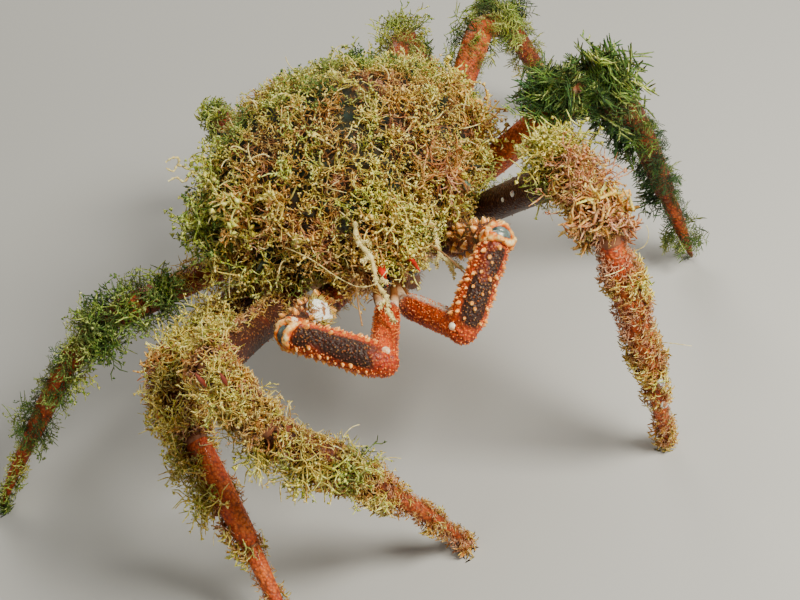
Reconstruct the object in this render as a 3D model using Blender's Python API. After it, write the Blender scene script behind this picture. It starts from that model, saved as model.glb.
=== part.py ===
"""European spider crab, a still life-size model of a live animal overgrown with weed and hydroids.

The crab stands on the tips of its eight walking legs and feeds with both claws at its mouth.
It faces -Y, its own left is +X, and the floor is z = 0. Sizes are in metres.
"""
import math
import random

import bmesh
import bpy
from mathutils import Matrix, Vector

MM = 0.001
GAP = 0.3 * MM

# The shell, measured without its growth. The front ends in two short horns.
SHELL_HALF_WIDTH = 56 * MM
SHELL_HALF_LENGTH = 66 * MM
SHELL_MIDDLE = 3 * MM
SHELL_HEIGHT = 41 * MM
SHELL_UNDERSIDE = -5 * MM
COAT_DEPTH = 9 * MM
CORE_DEPTH = 2.5 * MM
LIMB_CLEARANCE = 0.5 * MM

# The turf on the shell: flat, bent locks set close over the dome and out over its rim.
SHELL_LOCKS = 122
SHELL_LOCK_WIDTH = 6.2 * MM
RIM_SPINES = (-34, -12, 14, 38)
RIM_SPINE_LENGTH = 11 * MM

# Two stalks of the growth hang down before the head: root, tip and thickness.
STALKS = (((-8, -55, 17), (-11, -94, -1), 1.1), ((17, -54, 6), (19, -62, -16), 1.3))

# The front of the left side in the crab's own frame, in millimetres: horn, eye and feeler.
HORN_BASE, HORN_TIP = (4.2, -54, 2), (6.5, -76, 2)
EYE_NECK, EYE_GLOBE = (8.5, -56, -3), (5.4, -62.5, -6.4)
FEELER_FOOT, FEELER_END = (14, -54, -3), (21, -84, -4)

# The trunk below the shell, with flat faces against the shell and the tail plate.
TRUNK_HALF_WIDTH = 38 * MM
TRUNK_HALF_LENGTH = 45 * MM
TRUNK_MIDDLE = 3 * MM
TRUNK_BOTTOM = -30 * MM

# How the body stands: rim height over the floor, and the head a little raised.
STANCE_HEIGHT = 80 * MM
HEAD_UP = math.radians(5)
CENTRE = (32.1 * MM, -0.2 * MM)

# Lengths of the five limb lengths of each pair: base, merus, carpus, propodus, dactylus.
# The last one of a walking leg runs on to the floor, so its own length follows from that.
CLAW_LENGTHS = (13, 45, 34.5, 36, 20.5)
LEG_LENGTHS = {1: (15, 68, 34, 55), 2: (14, 62, 31, 44), 3: (13, 58, 28, 42), 4: (12, 48, 25, 38)}
LIMB_NAMES = ("base", "merus", "carpus", "propodus", "dactylus")
CLAW_NAMES = ("base", "merus", "carpus", "palm", "finger")

# Where each pair leaves the trunk on the left side, in the crab's own frame, in millimetres.
CLAW_ROOT = (24, -38, -17)
LEG_ROOTS = {1: (36, -18, -17), 2: (40, 3, -17), 3: (37, 22, -17), 4: (30, 38, -17)}

# The pose: heading and rise of each length in degrees. Heading 0 is straight ahead, and
# a positive one turns to the crab's left.
CLAW_POSE = {
    "left": ((13, 31), (13, 31), (-63, -37), (-159, -9), (175, 3)),
    "right": ((-25, 29), (-25, 29), (52, -22), (162, -10), (166, 1)),
}
LEG_POSE = {
    (1, "left"): ((27, 13), (27, 33), (-3, -11), (-7, -78), (-168, -84)),
    (1, "right"): ((-31, 6), (-31, 26), (15, -12), (78, -59), (81, -64)),
    (2, "left"): ((49, 14), (53, 36), (100, -48), (88, -84), (80, -84)),
    (2, "right"): ((-49, -10), (-49, 8), (6, -9), (4, -50), (0, -46)),
    (3, "left"): ((135, 0), (135, 20), (136, -34), (138, -70), (138, -72)),
    (3, "right"): ((-83, -12), (-83, 6), (-86, -22), (-88, -42), (-88, -46)),
    (4, "left"): ((150, 3), (162, 16), (156, -18), (152, -68), (150, -84)),
    (4, "right"): ((-160, 3), (178, 16), (-178, -18), (-175, -68), (-170, -84)),
}

# Radius of a limb at its thickest, and how it swells and narrows from joint to joint.
CLAW_RADIUS = 6.2 * MM
LEG_RADIUS = {1: 6.8 * MM, 2: 6.4 * MM, 3: 5.8 * MM, 4: 5.2 * MM}
LEG_JOINTS = (0.90, 0.84, 0.80, 0.62, 0.50, 0.24)
CLAW_JOINTS = (0.90, 0.84, 0.84, 0.72, 0.66)
LEG_GIRTH = ((0.95, 0.95), (1.0, 1.05), (0.92, 0.95), (0.76, 0.66), (0.50, 0.38))
CLAW_GIRTH = ((0.95, 0.95), (0.98, 1.05), (1.0, 1.08), (0.82, 0.80))

# The two fingers of a claw, one over the other, each round and tapered.
FINGER_RADII = (1.9 * MM, 1.7 * MM, 0.6 * MM)
FINGER_RISE = 2.2 * MM
CLAW_TWIST = {"left": math.radians(15), "right": math.radians(70)}

# How far the growth reaches off each leg's merus, carpus, propodus and dactylus, in millimetres,
# and how many locks each of these lengths carries.
GROWTH_REACH = {
    (1, "left"): (7, 15, 5, 4), (1, "right"): (10, 12, 9, 6),
    (2, "left"): (9, 14, 11, 7), (2, "right"): (9, 10, 9, 6),
    (3, "left"): (12, 11, 8, 5), (3, "right"): (12, 11, 9, 6),
    (4, "left"): (8, 8, 7, 5), (4, "right"): (8, 8, 7, 5),
}
GROWTH_LOCKS = {1: (7, 9, 9, 4), 2: (6, 8, 7, 4), 3: (4, 5, 5, 2), 4: (3, 3, 4, 2)}
MERUS_BARE = 0.42
GROWTH_SPREAD = math.radians(270)
LOCK_WIDTH = 3.6 * MM
LOCK_ROOT = 1.6 * MM

# Spines on a claw's merus and the knobs in rows on its carpus: rows, number in a row, height.
MERUS_SPINES = (4, 3, 3.4 * MM)
CARPUS_KNOBS = (5, 5, 1.8 * MM)

SHELL_COLOUR = (0.30, 0.20, 0.08, 1)
TRUNK_COLOUR = (0.55, 0.30, 0.14, 1)
LIMB_COLOUR = (0.42, 0.17, 0.06, 1)
CLAW_COLOUR = (0.62, 0.13, 0.03, 1)
EYE_COLOUR = (0.02, 0.02, 0.03, 1)

GOLDEN_TURN = math.pi * (3 - math.sqrt(5))
chance = random.Random(7)

IN_CRAB = Matrix.Translation((*CENTRE, STANCE_HEIGHT)) @ Matrix.Rotation(-HEAD_UP, 4, "X")

for old in list(bpy.data.objects):
    bpy.data.objects.remove(old, do_unlink=True)

crab = bpy.data.collections.new("spider_crab")
helpers = bpy.data.collections.new("cutters")
for group in (crab, helpers):
    bpy.context.scene.collection.children.link(group)


def paint(name, colour, roughness):
    """A plain shell, skin or eye finish."""
    material = bpy.data.materials.new(name)
    material.use_nodes = True
    surface = material.node_tree.nodes["Principled BSDF"]
    surface.inputs["Base Color"].default_value = colour
    surface.inputs["Roughness"].default_value = roughness
    return material


def add_object(name, mesh_data, group, material=None):
    """Name a bmesh and put it in its collection."""
    mesh = bpy.data.meshes.new(name)
    mesh_data.to_mesh(mesh)
    mesh_data.free()
    thing = bpy.data.objects.new(name, mesh)
    group.objects.link(thing)
    if material:
        mesh.materials.append(material)
    return thing


def in_crab(point):
    """A point given in millimetres in the crab's own frame, in the model's frame."""
    return IN_CRAB @ (Vector(point) * MM)


def column(sides, stations, place, pointed=False):
    """A round bar of unit height, ringed at the stations and then shaped by place(height, ring)."""
    bar = bmesh.new()
    bmesh.ops.create_cone(bar, cap_ends=True, segments=sides, radius1=1, depth=1,
                          radius2=0 if pointed else 1)
    bmesh.ops.translate(bar, verts=bar.verts, vec=(0, 0, 0.5))
    bmesh.ops.remove_doubles(bar, verts=bar.verts, dist=1e-5)
    for height in stations:
        whole = bar.verts[:] + bar.edges[:] + bar.faces[:]
        bmesh.ops.bisect_plane(bar, geom=whole, plane_co=(0, 0, height), plane_no=(0, 0, 1))
    for corner in bar.verts:
        ring = Vector((corner.co.x, corner.co.y))
        height = corner.co.z
        corner.co = place(height, ring.normalized() if ring.length > 1e-6 else ring)
    return bar


def ball(rings, place):
    """A unit sphere shaped by place(point)."""
    sphere = bmesh.new()
    bmesh.ops.create_uvsphere(sphere, u_segments=rings * 2, v_segments=rings, radius=1)
    for corner in sphere.verts:
        corner.co = place(corner.co.copy())
    return sphere


def keep_largest(thing):
    """Drop all but the largest closed surface of a finished piece."""
    mesh_data = bmesh.new()
    mesh_data.from_mesh(thing.data)
    left = set(mesh_data.faces)
    islands = []
    while left:
        island = {left.pop()}
        front = list(island)
        while front:
            face = front.pop()
            for edge in face.edges:
                for other in edge.link_faces:
                    if other in left:
                        left.remove(other)
                        island.add(other)
                        front.append(other)
        islands.append(island)
    islands.sort(key=lambda island: sum(face.calc_area() for face in island))
    scraps = [face for island in islands[:-1] for face in island]
    bmesh.ops.delete(mesh_data, geom=scraps, context="FACES")
    mesh_data.to_mesh(thing.data)
    mesh_data.free()


def combine(thing, operation, others, solver="MANIFOLD"):
    """Join other closed pieces to a piece, or cut them from it, and remove them."""
    group = bpy.data.collections.new("pieces")
    bpy.context.scene.collection.children.link(group)
    for other in others:
        group.objects.link(other)
    boolean = thing.modifiers.new("combine", "BOOLEAN")
    boolean.operation = operation
    boolean.operand_type = "COLLECTION"
    boolean.collection = group
    boolean.solver = solver
    view = bpy.context.evaluated_depsgraph_get()
    shaped = bpy.data.meshes.new_from_object(thing.evaluated_get(view))
    thing.modifiers.clear()
    thing.data = shaped
    for other in list(group.objects):
        bpy.data.objects.remove(other, do_unlink=True)
    bpy.data.collections.remove(group)
    keep_largest(thing)


def toward(heading, rise):
    """Unit direction of a heading and a rise in degrees."""
    turn, lift = math.radians(heading), math.radians(rise)
    return Vector((math.cos(lift) * math.sin(turn), -math.cos(lift) * math.cos(turn), math.sin(lift)))


class Limb:
    """One length of a leg or claw, between two cut planes, round and swelling from its girths."""

    def __init__(self, start, end, start_cut, end_cut, girths, sides=8):
        self.start, self.end = start, end
        self.cuts = (start_cut, end_cut)
        self.girths = girths
        self.sides = sides
        self.axis = (end - start).normalized()
        reference = Vector((0, 0, 1)) if abs(self.axis.z) < 0.9 else Vector((0, -1, 0))
        self.side = reference.cross(self.axis).normalized()
        self.top = self.axis.cross(self.side)

    def girth(self, height):
        """Radius at a height from 0 to 1 along the length."""
        for (low, thin), (high, wide) in zip(self.girths, self.girths[1:]):
            if height <= high:
                return thin + (wide - thin) * (height - low) / (high - low)
        return self.girths[-1][1]

    def slide(self, point, cut):
        """Move a point along the limb onto a cut plane."""
        spot, normal = cut
        return point + self.axis * ((spot - point).dot(normal) / self.axis.dot(normal))

    def place(self, height, ring, lift=0.0):
        """The point of the skin at a height and a ring direction, held between the cuts."""
        out = self.side * ring.x + self.top * ring.y
        point = self.start.lerp(self.end, height) + out * (self.girth(height) + lift)
        start_cut, end_cut = self.cuts
        if height < 1e-4 or (start_cut[0] - point).dot(start_cut[1]) > 0:
            return self.slide(point, start_cut)
        if height > 1 - 1e-4 or (point - end_cut[0]).dot(end_cut[1]) > 0:
            return self.slide(point, end_cut)
        return point

    def skin(self, height, turn):
        """A point of the skin at a height and an angle from the top, and the way out from it."""
        ring = Vector((math.sin(turn), math.cos(turn)))
        point = self.place(height, ring)
        return point, (self.side * ring.x + self.top * ring.y).normalized()

    def hold(self, point):
        """Keep a point of the growth between the two cuts and above the floor."""
        for (spot, normal), way in zip(self.cuts, (1, -1)):
            short = GAP * 2 - (point - spot).dot(normal) * way
            if short > 0:
                point = point + normal * short * way
        return Vector((point.x, point.y, max(point.z, GAP * 2)))

    def mesh(self, lift=0.0):
        """The closed length, or a thicker copy of it to cut a neighbour with."""
        heights = [height for height, _ in self.girths[1:-1]]
        return column(self.sides, heights, lambda height, ring: self.place(height, ring, lift))


def lock(root, out, lie, reach, width, hold=None):
    """One lock of the growth: flat and tapered, rising from its root and bending over its lie."""
    lie = (lie - out * lie.dot(out)).normalized()
    flat = lie.cross(out)
    foot = root - out * LOCK_ROOT
    middle = root + out * reach * chance.uniform(0.9, 1.2) + lie * reach * 0.3
    tip = root + out * reach * chance.uniform(0.55, 1.0) + lie * reach * chance.uniform(1.2, 1.7)

    def place(height, ring):
        bend = foot.lerp(middle, height).lerp(middle.lerp(tip, height), height)
        along = (middle - foot).lerp(tip - middle, height).normalized()
        wide = width * (1 - height) ** 0.6
        point = bend + flat * ring.x * wide + along.cross(flat) * ring.y * wide * 0.35
        return hold(point) if hold else point

    return column(4, (0.4, 0.75), place, pointed=True)


def spine(root, out, length, width, sides=5, hold=None):
    """A cone with its foot sunk in the piece it grows from."""
    across = out.orthogonal().normalized()
    other = out.cross(across)
    foot = root - out * width

    def place(height, ring):
        point = foot + out * (length + width) * height + (across * ring.x + other * ring.y) * width
        return hold(point) if hold else point

    return column(sides, (), place, pointed=True)


def mitre(joint, before, after):
    """The plane that halves the bend at a joint."""
    return joint, (before + after).normalized()


def girth_steps(radius, start, middle, end):
    """Heights and radii of one length: narrow at both joints, fullest before the far one."""
    return ((0.0, radius * start), (0.14, radius * middle[0]), (0.52, radius * middle[0]),
            (0.86, radius * middle[1]), (1.0, radius * end))


def chain(root, lengths, pose):
    """The joints of a limb from its root on the trunk."""
    joints = [in_crab(root)]
    for length, (heading, rise) in zip(lengths, pose):
        joints.append(joints[-1] + toward(heading, rise) * length * MM)
    return joints


def limb_lengths(joints, radius, girths, narrows, tip):
    """Cut a limb into its lengths at the planes that halve its bends."""
    axes = [(after - before).normalized() for before, after in zip(joints, joints[1:])]
    limbs = []
    for index, axis in enumerate(axes):
        first, last = index == 0, index == len(axes) - 1
        start = joints[index] - axis * 14 * MM if first else joints[index]
        end = joints[index + 1]
        start_cut = (start, axis) if first else mitre(joints[index], axes[index - 1], axis)
        end_cut = tip if last else mitre(end, axis, axes[index + 1])
        if not first:
            start_cut = (start_cut[0] + start_cut[1] * GAP / 2, start_cut[1])
        if not last:
            end_cut = (end_cut[0] - end_cut[1] * GAP / 2, end_cut[1])
        steps = girth_steps(radius, narrows[index], girths[index], narrows[index + 1])
        limbs.append(Limb(start, end, start_cut, end_cut, steps))
    return limbs


def shell_place(depth, gap=0.0):
    """The shell's outline: a pear from above, a low dome from the side, flat below."""
    def place(point):
        front = max(0.0, min(1.0, (point.y + 0.95) / 0.95))
        pear = 0.50 + 0.50 * math.sin(front * math.pi / 2)
        dome = 0.50 + 0.50 * math.sin(front * math.pi / 2)
        grow = depth * (0.3 + 0.7 * front) + gap
        across = point.x * (SHELL_HALF_WIDTH * pear + grow)
        along = SHELL_MIDDLE + point.y * (SHELL_HALF_LENGTH + grow)
        high = point.z * (SHELL_HEIGHT * dome + grow)
        return IN_CRAB @ Vector((across, along, max(high, SHELL_UNDERSIDE - gap)))
    return place


def trunk_place(grow):
    """The trunk: an oval bowl with a flat top under the shell and a flat bottom."""
    def place(point):
        along = TRUNK_MIDDLE + point.y * (TRUNK_HALF_LENGTH + grow)
        across = point.x * (TRUNK_HALF_WIDTH + grow)
        depth = (TRUNK_BOTTOM - SHELL_UNDERSIDE) / 2
        high = SHELL_UNDERSIDE - GAP + depth * (1 - 1.35 * point.z)
        top = SHELL_UNDERSIDE - GAP + grow
        return IN_CRAB @ Vector((across, along, min(max(high, TRUNK_BOTTOM - grow), top)))
    return place


def mirrored(side):
    return 1 if side == "left" else -1


def cut_by(thing, places):
    """Cut a piece with grown copies of what it meets, so that a thin gap stays between them."""
    combine(thing, "DIFFERENCE", [add_object("cutter", shape, helpers) for shape in places])


def way_out(place, point):
    """The direction straight out of a shaped ball at a point of the unit sphere."""
    across = point.orthogonal().normalized() * 0.02
    along = point.cross(across)
    first = place((point + across).normalized()) - place((point - across).normalized())
    second = place((point + along).normalized()) - place((point - along).normalized())
    return first.cross(second).normalized()


def shell_locks(place):
    """Locks in an even spiral over the dome, fanning out from its middle and down at the rim."""
    made = []
    for index in range(SHELL_LOCKS):
        high = 0.98 - 1.05 * (index + 0.5) / SHELL_LOCKS
        ring = math.sqrt(1 - high * high)
        turn = index * GOLDEN_TURN
        point = Vector((ring * math.sin(turn), ring * math.cos(turn), high))
        root, out = place(point), way_out(place, point)
        head = point.y < -0.86 and high < 0.25
        if head:
            continue
        fan = Vector((point.x, point.y * 0.8, -0.35)) + Vector(
            (chance.uniform(-0.5, 0.5), chance.uniform(-0.5, 0.5), 0))
        front = max(0.0, -point.y - 0.55)
        reach = COAT_DEPTH * chance.uniform(0.75, 1.15) * (1 - 1.2 * front)
        width = SHELL_LOCK_WIDTH * chance.uniform(0.8, 1.2) * (1 - 0.9 * front)
        made.append(lock(root, out, fan, reach, width))
    return made


def rim_spines(place):
    """The strong spines that stand out of the rim on both sides."""
    made = []
    for side in ("left", "right"):
        for along in RIM_SPINES:
            turn = along * MM / SHELL_HALF_LENGTH
            point = Vector((mirrored(side) * math.sqrt(1 - turn * turn), turn, 0.12)).normalized()
            out = way_out(place, point) + Vector((0, -0.25, 0))
            made.append(spine(place(point), out.normalized(), RIM_SPINE_LENGTH, 2.8 * MM))
    return made


def stalks():
    """The hanging stalks, each a bent bar that thins and ends in a small knob."""
    made = []
    for root, tip, thick in STALKS:
        high, low = in_crab(root), in_crab(tip)
        axis = (low - high).normalized()
        across = axis.cross(Vector((1, 0, 0))).normalized()
        other = axis.cross(across)

        def place(height, ring, high=high, low=low, thick=thick, across=across, other=other):
            sway = across * math.sin(height * math.pi * 1.5) * 1.6 * MM
            width = thick * (1.5 - 0.9 * height + 0.4 * (height > 0.8)) * MM
            return high.lerp(low, height) + sway + (across * ring.x + other * ring.y) * width

        made.append(column(5, (0.2, 0.4, 0.6, 0.82, 0.93), place))
    return made


# The shell: its core under the turf, with the horns, the rim spines and the locks fused on.
shell_paint = paint("grown shell", SHELL_COLOUR, 0.9)
shell = add_object("carapace", ball(12, shell_place(CORE_DEPTH)), crab, shell_paint)
horns = []
for side in ("left", "right"):
    way = mirrored(side)
    base = in_crab((way * HORN_BASE[0], *HORN_BASE[1:]))
    horn_tip = in_crab((way * HORN_TIP[0], *HORN_TIP[1:]))

    def horn_place(height, ring, base=base, horn_tip=horn_tip):
        width = (3.4 - 2.9 * height) * MM
        return base.lerp(horn_tip, height) + Vector((ring.x, 0, ring.y)) * width

    horns.append(column(7, (0.5,), horn_place))
grown = horns + rim_spines(shell_place(CORE_DEPTH)) + shell_locks(shell_place(CORE_DEPTH)) + stalks()
combine(shell, "UNION", [add_object("growth", shape, helpers) for shape in grown])

trunk_paint = paint("trunk shell", TRUNK_COLOUR, 0.6)
add_object("sternum", ball(10, trunk_place(0)), crab, trunk_paint)


def tail_place(point):
    """The folded tail plate under the trunk, flat against it."""
    across = point.x * 17 * MM
    along = (16 + point.y * 28) * MM
    high = TRUNK_BOTTOM - GAP + min(point.z * 5 * MM, 0)
    return IN_CRAB @ Vector((across, along, high))


add_object("abdomen", ball(6, tail_place), crab, trunk_paint)

eye_paint = paint("eye", EYE_COLOUR, 0.1)
feeler_paint = paint("feeler", LIMB_COLOUR, 0.5)
for side in ("left", "right"):
    way = mirrored(side)
    neck = in_crab((way * EYE_NECK[0], *EYE_NECK[1:]))
    globe = in_crab((way * EYE_GLOBE[0], *EYE_GLOBE[1:]))

    def eye_shape(height, ring, neck=neck, globe=globe):
        """A short stalk that widens to a round end."""
        axis = (globe - neck).normalized()
        across = axis.cross(Vector((0, 0, 1))).normalized()
        bulge = math.sin(max(height - 0.3, 0) / 0.7 * math.pi)
        width = (1.4 * min(1, (1 - height) * 8) + 0.9 * bulge) * MM
        spot = neck.lerp(globe, height)
        return spot + (across * ring.x + axis.cross(across) * ring.y) * width

    eye = add_object(f"eye_{side}", column(10, (0.3, 0.5, 0.7, 0.85, 0.95), eye_shape), crab,
                     eye_paint)

    foot = in_crab((way * FEELER_FOOT[0], *FEELER_FOOT[1:]))
    end = in_crab((way * FEELER_END[0], *FEELER_END[1:]))

    def feeler_shape(height, ring, foot=foot, end=end):
        """A thick root joint and a thin lash that arches over."""
        width = (1.7 - 1.35 * min(height * 2.2, 1)) * MM
        arch = Vector((0, 0, 4 * MM * math.sin(height * math.pi)))
        return foot.lerp(end, height) + arch + Vector((ring.x, 0, ring.y)) * width

    feeler = add_object(f"antenna_{side}", column(7, (0.15, 0.3, 0.45, 0.6, 0.8), feeler_shape),
                        crab, feeler_paint)
    for thing in (eye, feeler):
        cut_by(thing, [ball(12, shell_place(CORE_DEPTH, GAP))])

    def jaw_shape(point, way=way):
        """A jaw foot: a flat rounded plate that covers its half of the mouth."""
        spot = Vector((way * 5.2 + point.x * 4.8, -42 + point.y * 3.5, -19 + point.z * 8))
        return in_crab(spot)

    jaw = add_object(f"maxilliped_{side}", ball(6, jaw_shape), crab, trunk_paint)
    cut_by(jaw, [ball(10, trunk_place(GAP))])

# The eight walking legs, each from its root on the trunk to a small flat on the floor.
limb_paint = paint("leg shell", LIMB_COLOUR, 0.6)
limbs = {}
for (pair, side), pose in LEG_POSE.items():
    across, along, high = LEG_ROOTS[pair]
    joints = chain((across * mirrored(side), along, high), LEG_LENGTHS[pair], pose)
    last_axis = toward(*pose[-1])
    ankle = joints[-1]
    joints.append(ankle - last_axis * ankle.z / last_axis.z)
    floor = (Vector((0, 0, 0)), Vector((0, 0, -1)))
    lengths = limb_lengths(joints, LEG_RADIUS[pair], LEG_GIRTH, LEG_JOINTS, floor)
    for name, limb in zip(LIMB_NAMES, lengths):
        limbs[f"leg_{pair}_{side}_{name}"] = limb

# The claws: the palm carries the fixed finger, and the finger that moves is a piece of its own.
for side, pose in CLAW_POSE.items():
    across, along, high = CLAW_ROOT
    joints = chain((across * mirrored(side), along, high), CLAW_LENGTHS, pose)
    palm_end = (joints[4], toward(*pose[3]))
    lengths = limb_lengths(joints[:5], CLAW_RADIUS, CLAW_GIRTH, CLAW_JOINTS, palm_end)
    for name, limb in zip(CLAW_NAMES, lengths):
        limbs[f"claw_{side}_{name}"] = limb
    knuckle, tip = joints[4:]
    for name, rise, sunk in (("finger", FINGER_RISE, GAP), ("thumb", -FINGER_RISE, -3 * MM)):
        twist = CLAW_TWIST[side]
        lift = (lengths[3].top * math.cos(twist) + lengths[3].side * math.sin(twist)) * rise
        start = knuckle + lift + palm_end[1] * sunk
        end = tip + lift * 0.6
        along_finger = (end - start).normalized()
        root, middle, point = FINGER_RADII
        steps = ((0.0, root), (0.4, middle), (0.8, 0.7 * middle), (1.0, point))
        cuts = ((start, palm_end[1]), (end, along_finger))
        limbs[f"claw_{side}_{name}"] = Limb(start, end, *cuts, steps, sides=8)


def limb_growth(limb, count, reach, first=0.16):
    """Locks over the top and sides of a leg length, bending down and towards its tip."""
    made = []
    for index in range(count):
        height = first + (0.88 - first) * (index + chance.uniform(0.2, 0.8)) / count
        turn = (index * 0.382 % 1 - 0.5) * GROWTH_SPREAD + chance.uniform(-0.2, 0.2)
        root, out = limb.skin(height, turn)
        lie = limb.axis * 0.8 + Vector((0, 0, -0.6)) + out.orthogonal() * chance.uniform(-0.6, 0.6)
        length = reach * chance.uniform(0.6, 0.95) * MM
        width = LOCK_WIDTH * chance.uniform(0.8, 1.2)
        made.append(lock(root, out, lie, length, width, hold=limb.hold))
    return made


def rows(limb, count, number, length, first, last):
    """Spines in rows along a claw length, every second row set half a step on."""
    made = []
    for row in range(count):
        for index in range(number):
            step = (index + 0.5 * (row % 2)) / number
            root, out = limb.skin(first + (last - first) * step, row / count * math.tau)
            tall = length * chance.uniform(0.7, 1.2)
            way = (out + limb.axis * 0.25).normalized()
            made.append(spine(root, way, tall, tall * 0.5, hold=limb.hold))
    return made


claw_paint = paint("claw shell", CLAW_COLOUR, 0.4)
for name, limb in limbs.items():
    if name.endswith("thumb"):
        continue
    piece = add_object(name, limb.mesh(), crab, claw_paint if "claw" in name else limb_paint)
    family, number, side, length_name = (name.split("_") + [""])[:4]
    grown = []
    if family == "leg" and length_name != "base":
        key = (int(number), side)
        index = LIMB_NAMES.index(length_name) - 1
        first = 0.16 if index else MERUS_BARE
        grown = limb_growth(limb, GROWTH_LOCKS[key[0]][index], GROWTH_REACH[key][index], first)
    if family == "claw" and name.endswith("merus"):
        grown = rows(limb, *MERUS_SPINES, 0.35, 0.95)
    if family == "claw" and name.endswith("carpus"):
        grown = rows(limb, *CARPUS_KNOBS, 0.16, 0.95)
    if name.endswith("palm"):
        grown = [limbs[name.replace("palm", "thumb")].mesh()]
    if grown:
        combine(piece, "UNION", [add_object("growth", shape, helpers) for shape in grown])
    if name.endswith("base"):
        cut_by(piece, [ball(10, trunk_place(GAP))])

# The shell keeps clear of the limbs that rise beside its rim.
near = [limb.mesh(LIMB_CLEARANCE) for name, limb in limbs.items() if name.endswith("merus")]
cut_by(shell, near)
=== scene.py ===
"""A european spider crab as a still model, dressed for its picture.

The crab stands on its leg tips, faces -Y and has its own left at +X. Its shell and legs are
overgrown with hydroids and weed, and both claws feed at its mouth.
"""
import math
import random

import bmesh
import bpy
import numpy as np
from mathutils import Matrix, Vector, noise
from mathutils.kdtree import KDTree


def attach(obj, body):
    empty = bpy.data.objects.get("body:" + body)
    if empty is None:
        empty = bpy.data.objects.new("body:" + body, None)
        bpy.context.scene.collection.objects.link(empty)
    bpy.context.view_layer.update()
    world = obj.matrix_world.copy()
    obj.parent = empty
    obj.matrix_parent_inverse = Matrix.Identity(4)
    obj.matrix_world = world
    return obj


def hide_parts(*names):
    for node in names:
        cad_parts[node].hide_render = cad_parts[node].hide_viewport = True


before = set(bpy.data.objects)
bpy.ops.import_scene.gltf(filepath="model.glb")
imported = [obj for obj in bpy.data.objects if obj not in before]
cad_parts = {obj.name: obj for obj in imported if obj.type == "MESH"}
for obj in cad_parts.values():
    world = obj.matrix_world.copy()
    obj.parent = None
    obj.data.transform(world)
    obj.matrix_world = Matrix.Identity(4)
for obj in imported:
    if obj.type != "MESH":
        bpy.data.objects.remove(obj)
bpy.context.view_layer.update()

# The floor is one wide matt sheet in a plain pale grey, as in a photographer's studio. It is no
# part of the crab, which only stands on it with its eight leg tips.
FLOOR_WIDTH = 8
FLOOR_COLOUR, FLOOR_CLOUDS = (0.47, 0.48, 0.485, 1), (0.4418, 0.4512, 0.4559, 1)


def begin(piece=None):
    """Leave edit mode and select nothing, or only the piece that is to be worked on."""
    if bpy.context.object and bpy.context.object.mode != "OBJECT":
        bpy.ops.object.mode_set(mode="OBJECT")
    bpy.ops.object.select_all(action="DESELECT")
    if piece:
        piece.select_set(True)
        bpy.context.view_layer.objects.active = piece


def named(name):
    """Name the object that an operator has just added."""
    piece = bpy.context.object
    piece.name = piece.data.name = name
    return piece


def finish(name, roughness, **sockets):
    """A new material, with each value that is the same all over set on the shader's socket."""
    material = bpy.data.materials.new(name)
    material.use_nodes = True
    surface = material.node_tree.nodes["Principled BSDF"]
    surface.inputs["Roughness"].default_value = roughness
    for socket, value in sockets.items():
        surface.inputs[socket.replace("_", " ")].default_value = value
    return material


def node(material, kind, output=0, **inputs):
    """Add a shader node, set or link its inputs, and give back one of its outputs."""
    made = material.node_tree.nodes.new("ShaderNode" + kind)
    for key, value in inputs.items():
        if key[0] == "i" and key[1:].isdigit():
            socket = made.inputs[int(key[1:])]
        elif key[0].islower():
            setattr(made, key, value)
            continue
        else:
            socket = made.inputs[key.replace("_", " ")]
        if isinstance(value, bpy.types.NodeSocket):
            material.node_tree.links.new(value, socket)
        else:
            socket.default_value = value
    return made.outputs[output]


def blended(material, factor, low, high, how="MIX"):
    """Two colours mixed by a factor."""
    return node(material, "Mix", 2, data_type="RGBA", blend_type=how, i0=factor, i6=low, i7=high)


def stepped(material, value, low, high):
    """A value stretched so that low becomes 0 and high becomes 1, and held there."""
    return node(material, "MapRange", Value=value, From_Min=low, From_Max=high)


def dress(material, **sockets):
    """Link made colours, roughness or normals to the material's shader."""
    surface = material.node_tree.nodes["Principled BSDF"]
    for socket, made in sockets.items():
        material.node_tree.links.new(made, surface.inputs[socket.replace("_", " ")])


def pattern(material, kind, scale, **inputs):
    """A noise or a pattern of cells that keeps its place on the object."""
    where = node(material, "TexCoord", 3)
    return node(material, "Tex" + kind, Vector=where, Scale=scale, **inputs)


def raised(material, height, strength, distance):
    """The bump of a surface that rises with a value."""
    return node(material, "Bump", Strength=strength, Distance=distance, Height=height)


def mottle(material, spread, low, high, steps=None, bump=None):
    """Colour a material in two colours that follow a pattern, which may also roughen it."""
    factor = stepped(material, spread, *steps) if steps else spread
    dress(material, Base_Color=blended(material, factor, low, high))
    if bump:
        dress(material, Normal=raised(material, spread, *bump))


begin()
bpy.ops.mesh.primitive_grid_add(x_subdivisions=8, y_subdivisions=8, size=FLOOR_WIDTH)
floor = named("floor")
floor_finish = finish("studio floor", 0.85)
mottle(floor_finish, pattern(floor_finish, "Noise", 1.5, Detail=2), FLOOR_COLOUR, FLOOR_CLOUDS)
floor.data.materials.append(floor_finish)

# The light comes from three wide soft boxes, with a strong one at the upper right of the view,
# and the camera looks down on the head from the front, rolled to the crab's left.
CAMERA_PLACE = Vector((-0.0108, -0.5543, 0.4723))
CAMERA_AIM = Vector((0.0282, -0.0720, 0.0767))
CAMERA_ROLL = math.radians(-22.24)
CAMERA_LENS = 76.5
LIGHT_COLOUR, LIGHT_AIM = (1.0, 0.94, 0.79), Vector((0, 0, 0.06))
ROOM_COLOUR, ROOM_STRENGTH = (0.92, 0.88, 0.81, 1), 0.20
SOFT_BOXES = {
    "key": ((0.42, -0.44, 0.56), 0.28, 11.5),
    "fill": ((-0.85, -0.60, 0.45), 0.8, 2.2),
    "rim": ((0.25, 0.95, 0.75), 0.5, 9),
}

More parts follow.
